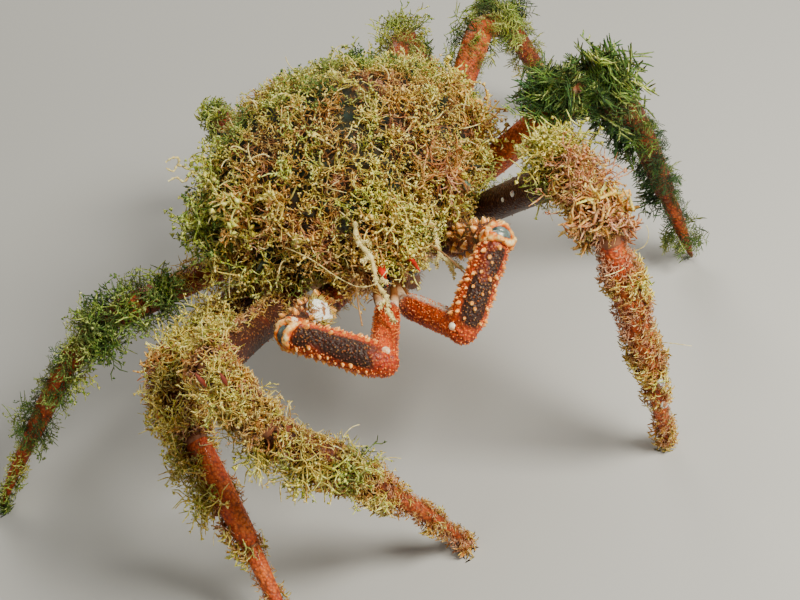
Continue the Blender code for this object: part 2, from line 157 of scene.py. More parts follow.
for name, (place, width, power) in SOFT_BOXES.items():
    light = bpy.data.lights.new(name, "AREA")
    light.size, light.energy, light.color = width, power, LIGHT_COLOUR
    box = bpy.data.objects.new(name, light)
    box.location = place
    box.rotation_euler = (LIGHT_AIM - box.location).to_track_quat("-Z", "Y").to_euler()
    bpy.context.scene.collection.objects.link(box)

room = bpy.data.worlds.new("room")
room.use_nodes = True
glow = room.node_tree.nodes["Background"].inputs
glow["Color"].default_value, glow["Strength"].default_value = ROOM_COLOUR, ROOM_STRENGTH
bpy.context.scene.world = room

camera = bpy.data.objects.new("camera", bpy.data.cameras.new("camera"))
camera.data.lens = CAMERA_LENS
camera.location = CAMERA_PLACE
look = (CAMERA_PLACE - CAMERA_AIM).to_track_quat("Z", "Y").to_matrix()
camera.rotation_euler = (look @ Matrix.Rotation(CAMERA_ROLL, 3, "Z")).to_euler()
bpy.context.scene.collection.objects.link(camera)
bpy.context.scene.camera = camera

# The trunk under the shell is a shallow bowl of fused chest plates, with the narrow tail plate
# folded flat beneath it. Both are smooth tan shell with shallow grooves between the plates.
MM = 0.001
STANCE = Matrix.Translation((0.0321, -0.0002, 0.080)) @ Matrix.Rotation(math.radians(-5), 4, "X")
SHELL_UNDERSIDE, PLATE_GAP = -5, 0.3
TRUNK_MIDDLE, TRUNK_HALF = (0, 3, -17.8), (38, 45, 16.9)
TRUNK_BOTTOM = -30
TAIL_MIDDLE, TAIL_HALF = (0, 16, -30.3), (17, 28, 5)
PALE_SHELL, TAN_SHELL = (0.62, 0.36, 0.16, 1), (0.36, 0.14, 0.05, 1)


def pick(piece, wanted):
    """Select only the corners of the opened piece whose place is wanted."""
    shape = bmesh.from_edit_mesh(piece.data)
    for corner in shape.verts:
        corner.select = wanted(corner.co)
    shape.select_flush_mode()
    bmesh.update_edit_mesh(piece.data)


def egg(name, middle, half, ring_size, segments=64, rings=48):
    """A ball with its poles along Y, each ring resized, then drawn out to its half sizes."""
    begin()
    bpy.ops.mesh.primitive_uv_sphere_add(segments=segments, ring_count=rings, radius=1,
                                         rotation=(math.pi / 2, 0, 0))
    piece = named(name)
    bpy.ops.object.transform_apply(location=False, rotation=True, scale=False)
    bpy.ops.object.mode_set(mode="EDIT")
    bpy.ops.mesh.select_mode(type="VERT")
    for step in range(1, rings):
        along = -math.cos(math.pi * step / rings)
        wide, high = ring_size(along)
        pick(piece, lambda place: abs(place.y - along) < 1e-3)
        bpy.ops.transform.resize(value=(wide, 1, high), center_override=(0, along, 0))
    bpy.ops.mesh.select_all(action="SELECT")
    bpy.ops.transform.resize(value=[size * MM for size in half], center_override=(0, 0, 0))
    bpy.ops.transform.translate(value=[place * MM for place in middle])
    return piece


def flatten(height, upper):
    """Slice the opened piece level at a height in millimetres and close the cut."""
    bpy.ops.mesh.select_all(action="SELECT")
    bpy.ops.mesh.bisect(plane_co=(0, 0, height * MM), plane_no=(0, 0, 1), use_fill=True,
                        clear_outer=upper, clear_inner=not upper)


def worn(piece, slot, material, *nodes, angle=60):
    """Round a piece's shading, broken past an angle, give it its finish, hide the parts that it
    stands for and hang it on the root; its slot is not used.
    """
    begin(piece)
    bpy.ops.object.shade_smooth_by_angle(angle=math.radians(angle))
    piece.data.materials.clear()
    piece.data.materials.append(material)
    if nodes:
        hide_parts(*nodes)
    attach(piece, "root")


def stand(piece, slot, material, *nodes, angle=40):
    """Put a piece made in the crab's own frame in its stance, and dress it."""
    begin()
    piece.data.transform(STANCE)
    worn(piece, slot, material, *nodes, angle=angle)


trunk_finish = finish("trunk shell", 0.45, Coat_Weight=0.15)
mottle(trunk_finish, pattern(trunk_finish, "Noise", 70, Detail=5, Roughness=0.6), PALE_SHELL,
       TAN_SHELL, (0.4, 0.65))
pores = pattern(trunk_finish, "Voronoi", 900)
dress(trunk_finish, Normal=raised(trunk_finish, pores, 0.35, 0.0004))

trunk = egg("trunk", TRUNK_MIDDLE, TRUNK_HALF,
            lambda along: (0.955, 0.955) if round((along + 1) * 10) % 3 == 0 else (1, 1))
flatten(SHELL_UNDERSIDE - PLATE_GAP, upper=True)
flatten(TRUNK_BOTTOM, upper=False)
stand(trunk, "trunk_shell", trunk_finish, "sternum")

tail = egg("tail", TAIL_MIDDLE, TAIL_HALF,
           lambda along: (0.93, 0.8) if round((along + 1) * 12) % 4 == 0 else (1, 1))
flatten(TRUNK_BOTTOM - PLATE_GAP, upper=True)
stand(tail, "trunk_shell", trunk_finish, "abdomen")

# The jaw feet close the mouth as two upright plates of tan to brown shell, a little narrower at
# the waist. Their bristles are set last of all.
JAW_MIDDLE, JAW_HALF, JAW_WAIST = (5.2, -42.4, -19), (4.6, 3.3, 8), -22
SIDES = {"left": 1, "right": -1}


def mirrored(place, way):
    """A place of the left side, or its mirror place on the right where way is -1."""
    return Vector((way * place[0], *place[1:]))


jaw_finish = finish("jaw foot shell", 0.4, Coat_Weight=0.2)
mottle(jaw_finish, pattern(jaw_finish, "Noise", 160, Detail=5), (0.42, 0.17, 0.05, 1),
       (0.16, 0.05, 0.018, 1), (0.35, 0.65), (0.4, 0.0004))
for side, way in SIDES.items():
    middle = mirrored(JAW_MIDDLE, way)
    jaw = egg(f"jaw_foot_{side}", middle, JAW_HALF, lambda along: (1, 1.03 - 0.2 * along * along),
              segments=32, rings=20)
    pick(jaw, lambda place: abs(place.z - JAW_WAIST * MM) < 0.0011)
    bpy.ops.transform.resize(value=(0.9, 0.9, 1),
                             center_override=(middle.x * MM, middle.y * MM, JAW_WAIST * MM))
    stand(jaw, "trunk_shell", jaw_finish, f"maxilliped_{side}")

# The carapace is one thick dome of limy shell, a pear from above, rough with small knobs and
# grown over by a film of weed. Its markings are those of the turf that stands on it, and its
# skin is painted nearly black: the film's olive to rust tints, darkened as painted shade of the
# deep gaps in the turf where the skin shows.
SHELL_MIDDLE, SHELL_HALF = (0, 3, 0), (56, 66, 41)
# Patches of one tint: middle, reach and tint. Gaps in the growth: middle and reach.
PATCHES = (
    ((-30, -4, 39), 20, 0.84), ((-27, -35, 27), 9, 0.74), ((39, -36, 14), 13, 0.90),
    ((33, -25, 30), 15, 0.66), ((-45, 19, 31), 21, 0.17), ((20, 42, 34), 32, 0.18),
    ((36, -42, 8), 5, 0.34), ((-28, -46, 15), 5, 0.30), ((-50, -20, 8), 16, 0.60),
    ((8, -20, 40), 14, 0.50), ((-8, 10, 42), 17, 0.47),
    ((0, -47, 22), 15, 0.50), ((34, 0, 36), 13, 0.80),
)
GAPS = (((-12, -20, 41), 7), ((1, -47, 25), 5), ((-15, -52, 18), 6), ((20, -6, 42), 5),
        ((-38, -30, 24), 5), ((8, -36, 33), 4), ((-44, -6, 28), 5), ((32, -14, 35), 4),
        ((-26, 14, 42), 4), ((-27, -51, 10), 5), ((44, 8, 30), 5))
# Painted shade: the skin's tints, dark olive to rust and pink, are kept nearly black for the shade
# in the gaps of the turf.
SKIN_AND_GAP_SHADE_STOPS = ((0.0, (0.008, 0.014, 0.008)), (0.3, (0.018, 0.026, 0.014)),
              (0.5, (0.030, 0.026, 0.012)), (0.8, (0.050, 0.016, 0.008)),
              (1.0, (0.045, 0.016, 0.014)))


def pear(along):
    """How wide and high the shell is at a place along it, from -1 in front to 1 behind."""
    front = max(0.0, min(1.0, (along + 0.95) / 0.95))
    return 0.5 + 0.5 * math.sin(front * math.pi / 2)


def in_crab(place):
    """A place given in millimetres in the crab's own frame, in the model's frame."""
    return STANCE @ (Vector(place) * MM)


def shell_spot(point, lift=0.0):
    """The place on the shell, in millimetres, of a point of the unit ball."""
    wide = pear(point.y)
    return Vector((point.x * (SHELL_HALF[0] * wide + lift),
                   SHELL_MIDDLE[1] + point.y * (SHELL_HALF[1] + lift),
                   max(point.z * (SHELL_HALF[2] * wide + lift), SHELL_UNDERSIDE)))


def held(value):
    """A value kept between 0 and 1."""
    return min(max(value, 0.0), 1.0)


def shell_hue(place):
    """The tint of skin and turf at a place in the crab's frame, from 0 dark olive to 1 pink."""
    tint = 0.56 + 0.42 * noise.noise(place * 0.045) + 0.22 * noise.noise(place * 0.13)
    for middle, reach, wanted in PATCHES:
        pull = math.exp(-((place - Vector(middle)).length / reach) ** 2)
        tint += (wanted - tint) * 0.85 * pull
    return held(tint)


def tinted(piece, name, values):
    """Write one value for each corner of a piece's mesh, for its material to read."""
    layer = piece.data.attributes.new(name, "FLOAT", "POINT")
    layer.data.foreach_set("value", values)


def painted(material, name):
    """The value of this name that the piece's mesh carries."""
    return node(material, "Attribute", 2, attribute_name=name)


def reckon(material, operation, *values, **settings):
    """A few values put together by one sum."""
    inputs = {f"i{index}": value for index, value in enumerate(values)}
    return node(material, "Math", operation=operation, **inputs, **settings)


def ramp(material, value, stops):
    """Colours that follow a value from 0 to 1."""
    made = material.node_tree.nodes.new("ShaderNodeValToRGB")
    material.node_tree.links.new(value, made.inputs[0])
    colours = made.color_ramp.elements
    while len(colours) < len(stops):
        colours.new(0.5)
    for element, (place, colour) in zip(colours, stops):
        element.position, element.color = place, (*colour, 1)
    return made.outputs[0]


shell_finish = finish("grown shell", 0.9, Specular_IOR_Level=0.2)
film = pattern(shell_finish, "Noise", 240, Detail=6, Roughness=0.65)
lumps = pattern(shell_finish, "Voronoi", 420)
mottle(shell_finish, film, ramp(shell_finish, painted(shell_finish, "hue"), SKIN_AND_GAP_SHADE_STOPS),
       (0.020, 0.045, 0.040, 1), (0.45, 0.72))
bumps = reckon(shell_finish, "ADD", lumps, film)
dress(shell_finish, Normal=raised(shell_finish, bumps, 0.8, 0.0012))

shell = egg("shell", SHELL_MIDDLE, SHELL_HALF, lambda along: (pear(along), pear(along)),
            segments=96, rings=72)
flatten(SHELL_UNDERSIDE, upper=False)
begin(shell)
knobs = bpy.data.textures.new("shell knobs", "VORONOI")
knobs.noise_scale = 0.006
swell = shell.modifiers.new("knobs", "DISPLACE")
swell.texture, swell.texture_coords = knobs, "LOCAL"
swell.strength, swell.mid_level = -0.0012, 0.3
bpy.ops.object.modifier_apply(modifier="knobs")
tinted(shell, "hue", [shell_hue(corner.co / MM) for corner in shell.data.vertices])
stand(shell, "grown_shell", shell_finish, "carapace")

# Two short horns of bare glossy red shell end the front, each with a small side thorn. Strong
# spines of the grown shell stand along its rim, on its flanks and along the middle of its back.
HORN_BASE, HORN_TIP = (4.2, -52, 2), (6.5, -76, 1.5)
THORN_RINGS = 6
RIM_SPINES, BACK_SPINES = (-34, -12, 14, 38), (-0.72, -0.42, -0.1, 0.3, 0.66)
FLANK_SPINES = ((-0.62, 0.62), (-0.2, 0.55), (0.25, 0.6), (0.6, 0.5))
RIM_SPINE_LENGTH, FLANK_SPINE_LENGTH, BACK_SPINE = 12, 8, Vector((0, -2, 5))
RED_SHELL, DARK_RED = (0.62, 0.018, 0.006, 1), (0.22, 0.008, 0.004, 1)


def thorn(name, root, tip, thick, bow=0.0, sides=12):
    """A bent thorn between two places in millimetres: a cone cut into rings, then bowed."""
    begin()
    length = (Vector(tip) - Vector(root)).length
    bpy.ops.mesh.primitive_cone_add(vertices=sides, radius1=thick, radius2=thick * 0.08,
                                    depth=length, location=(0, 0, length / 2))
    piece = named(name)
    bpy.ops.object.transform_apply(location=True)
    bpy.ops.object.mode_set(mode="EDIT")
    for step in range(1, THORN_RINGS):
        bpy.ops.mesh.select_all(action="SELECT")
        bpy.ops.mesh.bisect(plane_co=(0, 0, length * step / THORN_RINGS), plane_no=(0, 0, 1))
    for step in range(1, THORN_RINGS):
        height, swell = length * step / THORN_RINGS, math.sin(math.pi * step / THORN_RINGS)
        pick(piece, lambda place: abs(place.z - height) < 1e-3)
        bpy.ops.transform.translate(value=(0, bow * swell, 0))
        full = 1 + 0.35 * swell
        bpy.ops.transform.resize(value=(full, full, 1), center_override=(0, 0, height))
    begin()
    turn = (Vector(tip) - Vector(root)).to_track_quat("Z", "Y").to_matrix().to_4x4()
    piece.data.transform(Matrix.Scale(MM, 4) @ Matrix.Translation(root) @ turn)
    return piece


def join(name, parts):
    """Make one piece of several, under one name."""
    begin(parts[0])
    for part in parts[1:]:
        part.select_set(True)
    if len(parts) > 1:
        bpy.ops.object.join()
    return named(name)


def spine(ball_point, reach, sunk, thick, bow, sides=10):
    """A thorn that stands on the shell at a point of the unit ball."""
    root = shell_spot(ball_point, -sunk)
    return thorn("spine", root, root + reach, thick, bow, sides)


horn_finish = finish("horn shell", 0.22, Coat_Weight=0.5, Coat_Roughness=0.1)
mottle(horn_finish, pattern(horn_finish, "Noise", 180, Detail=4), RED_SHELL, DARK_RED,
       (0.42, 0.6), (0.3, 0.0004))
horns = []
for way in SIDES.values():
    base, tip = mirrored(HORN_BASE, way), mirrored(HORN_TIP, way)
    horns.append(thorn("horn", base, tip, 3.0, bow=1.0))
    fork = base.lerp(tip, 0.5)
    horns.append(thorn("side thorn", fork, fork + Vector((way * 4.5, -4.5, 1)), 1.1, sides=8))
stand(join("horns", horns), "claw_shell", horn_finish)

spines = []
for way in SIDES.values():
    for along in RIM_SPINES:
        turn = along / SHELL_HALF[1]
        ball_point = Vector((way * math.sqrt(1 - turn * turn), turn, 0.12)).normalized()
        out = Vector((ball_point.x, ball_point.y * 0.7 - 0.25, 0.25)).normalized()
        spines.append(spine(ball_point, out * RIM_SPINE_LENGTH, 2, 2.6, 0.8, sides=12))
    for along, high in FLANK_SPINES:
        ball_point = Vector((way * math.sqrt(1 - along * along - high * high), along, high))
        out = Vector((ball_point.x, ball_point.y - 0.2, ball_point.z + 0.3)).normalized()
        spines.append(spine(ball_point, out * FLANK_SPINE_LENGTH, 1.5, 2.2, 0.5))
for along in BACK_SPINES:
    ball_point = Vector((0, along, math.sqrt(1 - along * along)))
    spines.append(spine(ball_point, BACK_SPINE, 1.5, 2.0, 0.4))
spines = join("shell_spines", spines)
tinted(spines, "hue", [shell_hue(corner.co / MM) for corner in spines.data.vertices])
stand(spines, "grown_shell", shell_finish)

# Each eye is a glossy black globe of fine facets on a short brown stalk, whose end widens into a
# cup around the globe. The real stalk folds in beside the horns.
EYE_NECK, EYE_GLOBE, GLOBE_HALF = (8.5, -55, -2.5), (5.6, -62.5, -5.8), (2.2, 2.5, 2.2)
STALK_THICK, CUP_GROWTH = 1.7, 6
eye_finish = finish("eye", 0.06, Coat_Weight=1.0, Coat_Roughness=0.03)
mottle(eye_finish, pattern(eye_finish, "Voronoi", 4200), (0.006, 0.006, 0.010, 1),
       (0.02, 0.022, 0.035, 1), bump=(0.08, 0.0001))
stalk_finish = finish("eye stalk", 0.4)
mottle(stalk_finish, pattern(stalk_finish, "Noise", 600, Detail=3), (0.30, 0.07, 0.02, 1),
       (0.07, 0.02, 0.01, 1))
for side, way in SIDES.items():
    globe_place = mirrored(EYE_GLOBE, way)
    eye = egg(f"eye_globe_{side}", globe_place, GLOBE_HALF, lambda along: (1, 1), segments=32,
              rings=24)
    stand(eye, "eye", eye_finish, f"eye_{side}", angle=60)
    stalk = thorn(f"eye_stalk_{side}", mirrored(EYE_NECK, way), globe_place, STALK_THICK)
    cup = globe_place * MM
    begin(stalk)
    bpy.ops.object.mode_set(mode="EDIT")
    pick(stalk, lambda place: (place - cup).length < 0.0009)
    bpy.ops.transform.resize(value=(CUP_GROWTH, CUP_GROWTH, CUP_GROWTH), center_override=cup)
    stand(stalk, "leg_shell", stalk_finish, angle=60)

# A walking leg is five stiff tubes of granular orange to dark brown shell, with painted shade on
# the merus of the second right leg. Each is turned from a disc, ring by ring, swells towards its
# far end and plugs into the one before it.
LEG_ROOTS = {1: (36, -18, -17), 2: (40, 3, -17), 3: (37, 22, -17), 4: (30, 38, -17)}
LEG_LENGTHS = {1: (15, 68, 34, 55), 2: (14, 62, 31, 44), 3: (13, 58, 28, 42), 4: (12, 48, 25, 38)}
LEG_RADIUS = {1: 6.8, 2: 6.4, 3: 5.8, 4: 5.2}
# The heading and rise of each length, in degrees.
LEG_POSE = {
    (1, "left"): ((27, 13), (27, 33), (-3, -11), (-7, -78), (-168, -84)),
    (1, "right"): ((-31, 6), (-31, 26), (15, -12), (78, -59), (81, -64)),
    (2, "left"): ((49, 14), (53, 36), (100, -48), (88, -84), (80, -84)),
    (2, "right"): ((-49, -10), (-49, 8), (6, -9), (4, -50), (0, -46)),
    (3, "left"): ((135, 0), (135, 20), (136, -34), (138, -70), (138, -72)),
    (3, "right"): ((-83, -12), (-83, 6), (-86, -22), (-88, -42), (-88, -46)),
    (4, "left"): ((150, 3), (162, 16), (156, -18), (152, -68), (150, -84)),
    (4, "right"): ((-160, 3), (178, 16), (-178, -18), (-175, -68), (-170, -84)),
}
LEG_PARTS = ("base", "merus", "carpus", "propodus", "dactylus")
ROOT_DEPTH = 14
# Rings of each tube: height along it, radius, and how far the ring sits off the middle line.
TUBES = {
    "base": ((0, .7, 0), (.1, .9, 0), (.5, .95, 0), (.66, .94, 0), (.7, .80, 0), (.74, .93, 0),
             (.92, .98, 0), (1, .88, 0), (1.04, .6, 0)),
    "merus": ((-.03, .5, 0), (.01, .70, 0), (.04, .80, 0), (.08, .90, 0), (.16, .95, .02),
              (.36, .94, .05), (.6, .97, .06), (.8, 1.02, .04), (.92, 1.04, 0), (.98, .98, 0),
              (1.02, .84, 0), (1.05, .55, 0)),
    "carpus": ((-.06, .5, 0), (.0, .68, 0), (.05, .76, 0), (.14, .88, .03), (.4, .93, .06),
               (.7, .96, .04), (.9, .95, 0), (.98, .86, 0), (1.04, .66, 0), (1.07, .4, 0)),
    "propodus": ((-.05, .42, 0), (.0, .60, 0), (.06, .70, 0), (.16, .77, .03), (.45, .74, .07),
                 (.75, .69, .04), (.93, .65, 0), (.99, .56, 0), (1.03, .36, 0)),
    "dactylus": ((-.05, .32, 0), (.0, .44, 0), (.06, .50, .02), (.2, .51, .08), (.45, .44, .16),
                 (.7, .33, .14), (.87, .21, .07), (.96, .11, .02), (1, .04, 0)),
}


class Tube:
    """Where one length of a limb runs, so that shell, joints and growth all sit on it."""

    def __init__(self, start, end, radius, rings):
        self.start, self.end, self.radius = start, end, radius
        self.axis = (end - start).normalized()
        self.reach = (end - start).length
        upright = Vector((0, 0, 1)) if abs(self.axis.z) < 0.9 else Vector((0, -1, 0))
        self.side = upright.cross(self.axis).normalized()
        self.top = self.axis.cross(self.side)
        self.heights, self.widths, self.bows = zip(*rings)

    def spot(self, height, turn, sunk=0.0):
        """A place on the skin at a height from 0 to 1 and an angle from the top, and the way out."""
        out = self.side * math.sin(turn) + self.top * math.cos(turn)
        width = float(np.interp(height, self.heights, self.widths)) * self.radius - sunk
        bow = self.top * float(np.interp(height, self.heights, self.bows)) * self.radius
        return self.start.lerp(self.end, height) + bow + out * width, out

    def lies(self, place):
        """How far along the tube a place is, from 0 to 1, and the way out to it."""
        out = place - self.start
        along = out.dot(self.axis)
        return along / self.reach, (out - self.axis * along).normalized()

    def facing(self, way):
        """The angle from the top at which the skin faces a way."""
        return math.atan2(way.dot(self.side), way.dot(self.top))

    def placed(self, unit, name):
        """A copy of the unit tube, drawn out and turned to lie here."""
        copy = bpy.data.objects.new(name, unit.data.copy())
        bpy.context.scene.collection.objects.link(copy)
        frame_of = Matrix((self.side, self.top, self.axis)).transposed().to_4x4()
        size = Matrix.Diagonal((self.radius, self.radius, self.reach, 1))
        copy.data.transform(Matrix.Translation(self.start) @ frame_of @ size)
        return copy


def turned(name, rings, sides=24):
    """A closed tube one unit long along Z, extruded from a disc ring by ring."""
    begin()
    height, width, bow = rings[0]
    bpy.ops.mesh.primitive_circle_add(vertices=sides, radius=width, fill_type="NGON",
                                      location=(0, bow, height))
    piece = named(name)
    bpy.ops.object.transform_apply(location=True)
    bpy.ops.object.mode_set(mode="EDIT")
    for (low, thin, near), (high, wide, far) in zip(rings, rings[1:]):
        rise = (0, far - near, high - low)
        bpy.ops.mesh.extrude_region_move(TRANSFORM_OT_translate={"value": rise})
        bpy.ops.transform.resize(value=(wide / thin, wide / thin, 1),
                                 center_override=(0, far, high))
    bpy.ops.mesh.select_all(action="SELECT")
    bpy.ops.mesh.normals_make_consistent(inside=False)
    begin(piece)
    rounding = piece.modifiers.new("rounding", "SUBSURF")
    rounding.levels = rounding.render_levels = 1
    bpy.ops.object.modifier_apply(modifier="rounding")
    return piece


def toward(heading, rise):
    """Unit direction of a heading, 0 ahead and positive to the left, and a rise in degrees."""
    turn, lift = math.radians(heading), math.radians(rise)
    return Vector((math.cos(lift) * math.sin(turn), -math.cos(lift) * math.cos(turn),
                   math.sin(lift)))


def chain(root, lengths, pose):
    """The joints of a limb, the first of them sunk in the trunk."""
    joints = [in_crab(root)]
    for length, (heading, rise) in zip(lengths, pose):
        joints.append(joints[-1] + toward(heading, rise) * length * MM)
    joints[0] = joints[0] - toward(*pose[0]) * ROOT_DEPTH * MM
    return joints


def limb(name, parts, joints, radius, rings, units, slot, material, **tints):
    """One piece of a tube from joint to joint, each tint reckoned from tube and place."""
    tubes, lengths = [], []
    for index, part in enumerate(parts):
        tube = Tube(joints[index], joints[index + 1], radius * MM, rings[part])
        length = tube.placed(units[part], part)
        for tint, value in tints.items():
            tinted(length, tint, [value(index, tube, corner.co) for corner in length.data.vertices])
        tubes.append(tube)
        lengths.append(length)
    worn(join(name, lengths), slot, material, *[f"{name}_{part}" for part in parts])
    return tubes


GRAIN_CREAM, PIT_BROWN = (0.66, 0.28, 0.06, 1), (0.05, 0.012, 0.006, 1)
CREAM_WHITE = (0.66, 0.62, 0.55, 1)


def granular(name, bright, deep, dark, roughness):
    """Shell paved with fine cream-tipped grains over a blotched ground, darker by its shade."""
    material = finish(name, roughness, Coat_Weight=0.05, Specular_IOR_Level=0.35)
    blotch = pattern(material, "Noise", 95, Detail=4, Roughness=0.6)
    grains = pattern(material, "Voronoi", 780, Randomness=0.8)
    fine = pattern(material, "Noise", 900, Detail=3)
    shade = painted(material, "shade")
    patchy = reckon(material, "MULTIPLY", shade, stepped(material, blotch, 0.7, 0.3))
    depth = reckon(material, "ADD", shade, patchy, use_clamp=True)
    tips = reckon(material, "MULTIPLY", stepped(material, grains, 0.30, 0.05), 0.55)
    pits = reckon(material, "MULTIPLY", stepped(material, grains, 0.45, 0.75), 0.6)
    colour = blended(material, stepped(material, blotch, 0.36, 0.64), bright, deep)
    for factor, over in ((depth, dark), (tips, GRAIN_CREAM), (pits, PIT_BROWN),
                         (painted(material, "pale"), CREAM_WHITE)):
        colour = blended(material, factor, colour, over)
    height = reckon(material, "SUBTRACT", fine, grains)
    dress(material, Base_Color=colour, Normal=raised(material, height, 0.7, 0.0007))
    return material


# How dark each length is, from the base out: mostly the shell's own brown, but on the merus of
# the second right leg it is painted shade of its shaded front and underside.
LEG_BROWN_AND_SHADE = {
    (1, "left"): (.5, .95, .6, .15, .1), (1, "right"): (.4, .75, .75, .6, .3),
    (2, "left"): (.3, .10, .5, .5, .3), (2, "right"): (.3, .7, .6, .05, .05),
    (3, "left"): (.3, .2, .4, .4, .3), (3, "right"): (.2, .3, .3, .3, .2),
    (4, "left"): (.3, .4, .4, .3, .2), (4, "right"): (.3, .4, .4, .3, .2),
}
leg_finish = granular("leg shell", (0.68, 0.135, 0.012, 1), (0.44, 0.045, 0.006, 1),
                      (0.040, 0.010, 0.005, 1), 0.5)
leg_units = {part: turned(f"unit {part}", rings) for part, rings in TUBES.items()}
legs = {}
for (pair, side), pose in LEG_POSE.items():
    joints = chain(mirrored(LEG_ROOTS[pair], SIDES[side]), LEG_LENGTHS[pair], pose)
    last = toward(*pose[-1])
    joints.append(joints[-1] - last * joints[-1].z / last.z)
    legs[pair, side] = limb(f"leg_{pair}_{side}", LEG_PARTS, joints, LEG_RADIUS[pair], TUBES,
                            leg_units, "leg_shell", leg_finish,
                            shade=lambda index, *_: LEG_BROWN_AND_SHADE[pair, side][index])

# Soft joint skin closes each joint of the legs: a dull brown ball, folded along the bend,
# that sits across the joint between the two lengths beside it.
LEG_SKIN_SIZE, FOLD_RINGS = 0.80, 18


def folded(name, joint, before, after, radius):
    """A ball across a joint, pinched into folds along the bend."""
    begin()
    bpy.ops.mesh.primitive_uv_sphere_add(segments=24, ring_count=FOLD_RINGS, radius=1)
    ball = named(name)
    bpy.ops.object.mode_set(mode="EDIT")
    for step in range(1, FOLD_RINGS):
        height = math.cos(math.pi * step / FOLD_RINGS)
        fold = 1.0 if step % 3 else 0.88
        pick(ball, lambda place: abs(place.z - height) < 1e-3)
        bpy.ops.transform.resize(value=(fold, fold, 1), center_override=(0, 0, height))
    begin()
    turn = (before + after).to_track_quat("Z", "Y").to_matrix().to_4x4()
    ball.data.transform(Matrix.Translation(joint) @ turn @ Matrix.Scale(radius, 4))
    return ball


leg_skin = finish("leg joint skin", 0.55)
mottle(leg_skin, pattern(leg_skin, "Noise", 500, Detail=5), (0.30, 0.09, 0.03, 1),
       (0.10, 0.04, 0.02, 1), bump=(0.5, 0.0005))
for (pair, side), tubes in legs.items():
    balls = [folded("skin", first.end, first.axis, second.axis,
                    first.radius * LEG_SKIN_SIZE * first.widths[-3])
             for first, second in zip(tubes, tubes[1:])]
    worn(join(f"leg_{pair}_{side}_joints", balls), "leg_shell", leg_skin)

# A claw arm has the same build in orange-red shell: a spiny upper arm, a swollen middle
# length with dark bands, and a slim palm that ends in two nearly closed fingers.
CLAW_PARTS, CLAW_LENGTHS = ("base", "merus", "carpus", "palm"), (13, 45, 34.5, 36, 20.5)
CLAW_ROOT = (24, -38, -17)
CLAW_POSE = {
    "left": ((13, 31), (13, 31), (-63, -37), (-159, -9), (175, 3)),
    "right": ((-25, 29), (-25, 29), (52, -22), (162, -10), (166, 1)),
}
CLAW_RADIUS = 6.2
CLAW_TWIST = {"left": math.radians(15), "right": math.radians(70)}
FINGER_RISE = 2.2
CLAW_TUBES = {
    "base": TUBES["base"],
    "merus": ((-.04, .5, 0), (.0, .70, 0), (.05, .82, 0), (.14, .94, .02), (.5, .97, .05),
              (.8, 1.03, .03), (.93, 1.05, 0), (.99, .96, 0), (1.04, .74, 0), (1.07, .45, 0)),
    "carpus": ((-.08, .5, 0), (-.02, .70, 0), (.04, .80, 0), (.12, .93, .03), (.4, .99, .08),
               (.7, 1.05, .05), (.88, 1.06, 0), (.97, .93, 0), (1.05, .70, 0), (1.10, .4, 0)),
    "palm": ((-.06, .5, 0), (-.01, .66, 0), (.05, .74, 0), (.16, .80, .04), (.45, .81, .07),
             (.75, .80, .05), (.92, .76, 0), (1.0, .62, 0), (1.04, .40, 0)),
    "finger": ((-.10, .20, 0), (.0, .31, 0), (.08, .31, .05), (.3, .28, .22), (.55, .23, .30),
               (.75, .18, .24), (.9, .11, .10), (1.0, .04, -.05)),
}
# How dark the plain lengths are, the way that the bands face, and that of the pale palm edges.
CLAW_SHADE = {0: 0.35, 1: 0.55, 3: 0.04}
BAND_FACING = Vector((-0.07, -0.78, 0.62))
PALE_EDGE = {"left": Vector((0.42, 0.54, 0.73)), "right": Vector((-0.90, 0.31, 0.30))}
FINGER_TINT = ((0.0, (0.80, 0.74, 0.62)), (0.16, (0.62, 0.42, 0.24)), (0.32, (0.34, 0.13, 0.035)),
               (1.0, (0.22, 0.09, 0.035)))
claw_finish = granular("claw shell", (0.62, 0.070, 0.002, 1), (0.30, 0.014, 0.001, 1),
                       (0.022, 0.007, 0.004, 1), 0.52)
finger_finish = finish("finger shell", 0.28, Coat_Weight=0.3)
mottle(finger_finish, pattern(finger_finish, "Noise", 350, Detail=3),
       ramp(finger_finish, painted(finger_finish, "along"), FINGER_TINT), (0.16, 0.05, 0.015, 1),
       (0.45, 0.75), (0.3, 0.0003))


def bleached(index, tube, place, side):
    """How pale a spot of the claw is: along one edge of the palm and around its far end."""
    if index != 3:
        return 0.0
    height, out = tube.lies(place)
    edge = (out.dot(PALE_EDGE[side]) - 0.80) / 0.12 * min(1.0, height / 0.3)
    return held(max(edge, (height - 0.90) / 0.08))


def banded(index, tube, place):
    """How dark a spot of the claw shell is: brown upper arm, dark bands on the middle length."""
    patchy = noise.noise(place / MM * 0.16)
    if index != 2:
        return held(CLAW_SHADE[index] + 0.5 * patchy)
    height, out = tube.lies(place)
    aside = out.dot(tube.axis.cross(BAND_FACING).normalized())
    band = max(0.0, 1 - (abs(aside + 0.10) / 0.72) ** 4) * (out.dot(BAND_FACING) > -0.1)
    ends = held(height / 0.10) * held((1 - height) / 0.10)
    return held(band * ends * (1.1 + 1.2 * patchy))


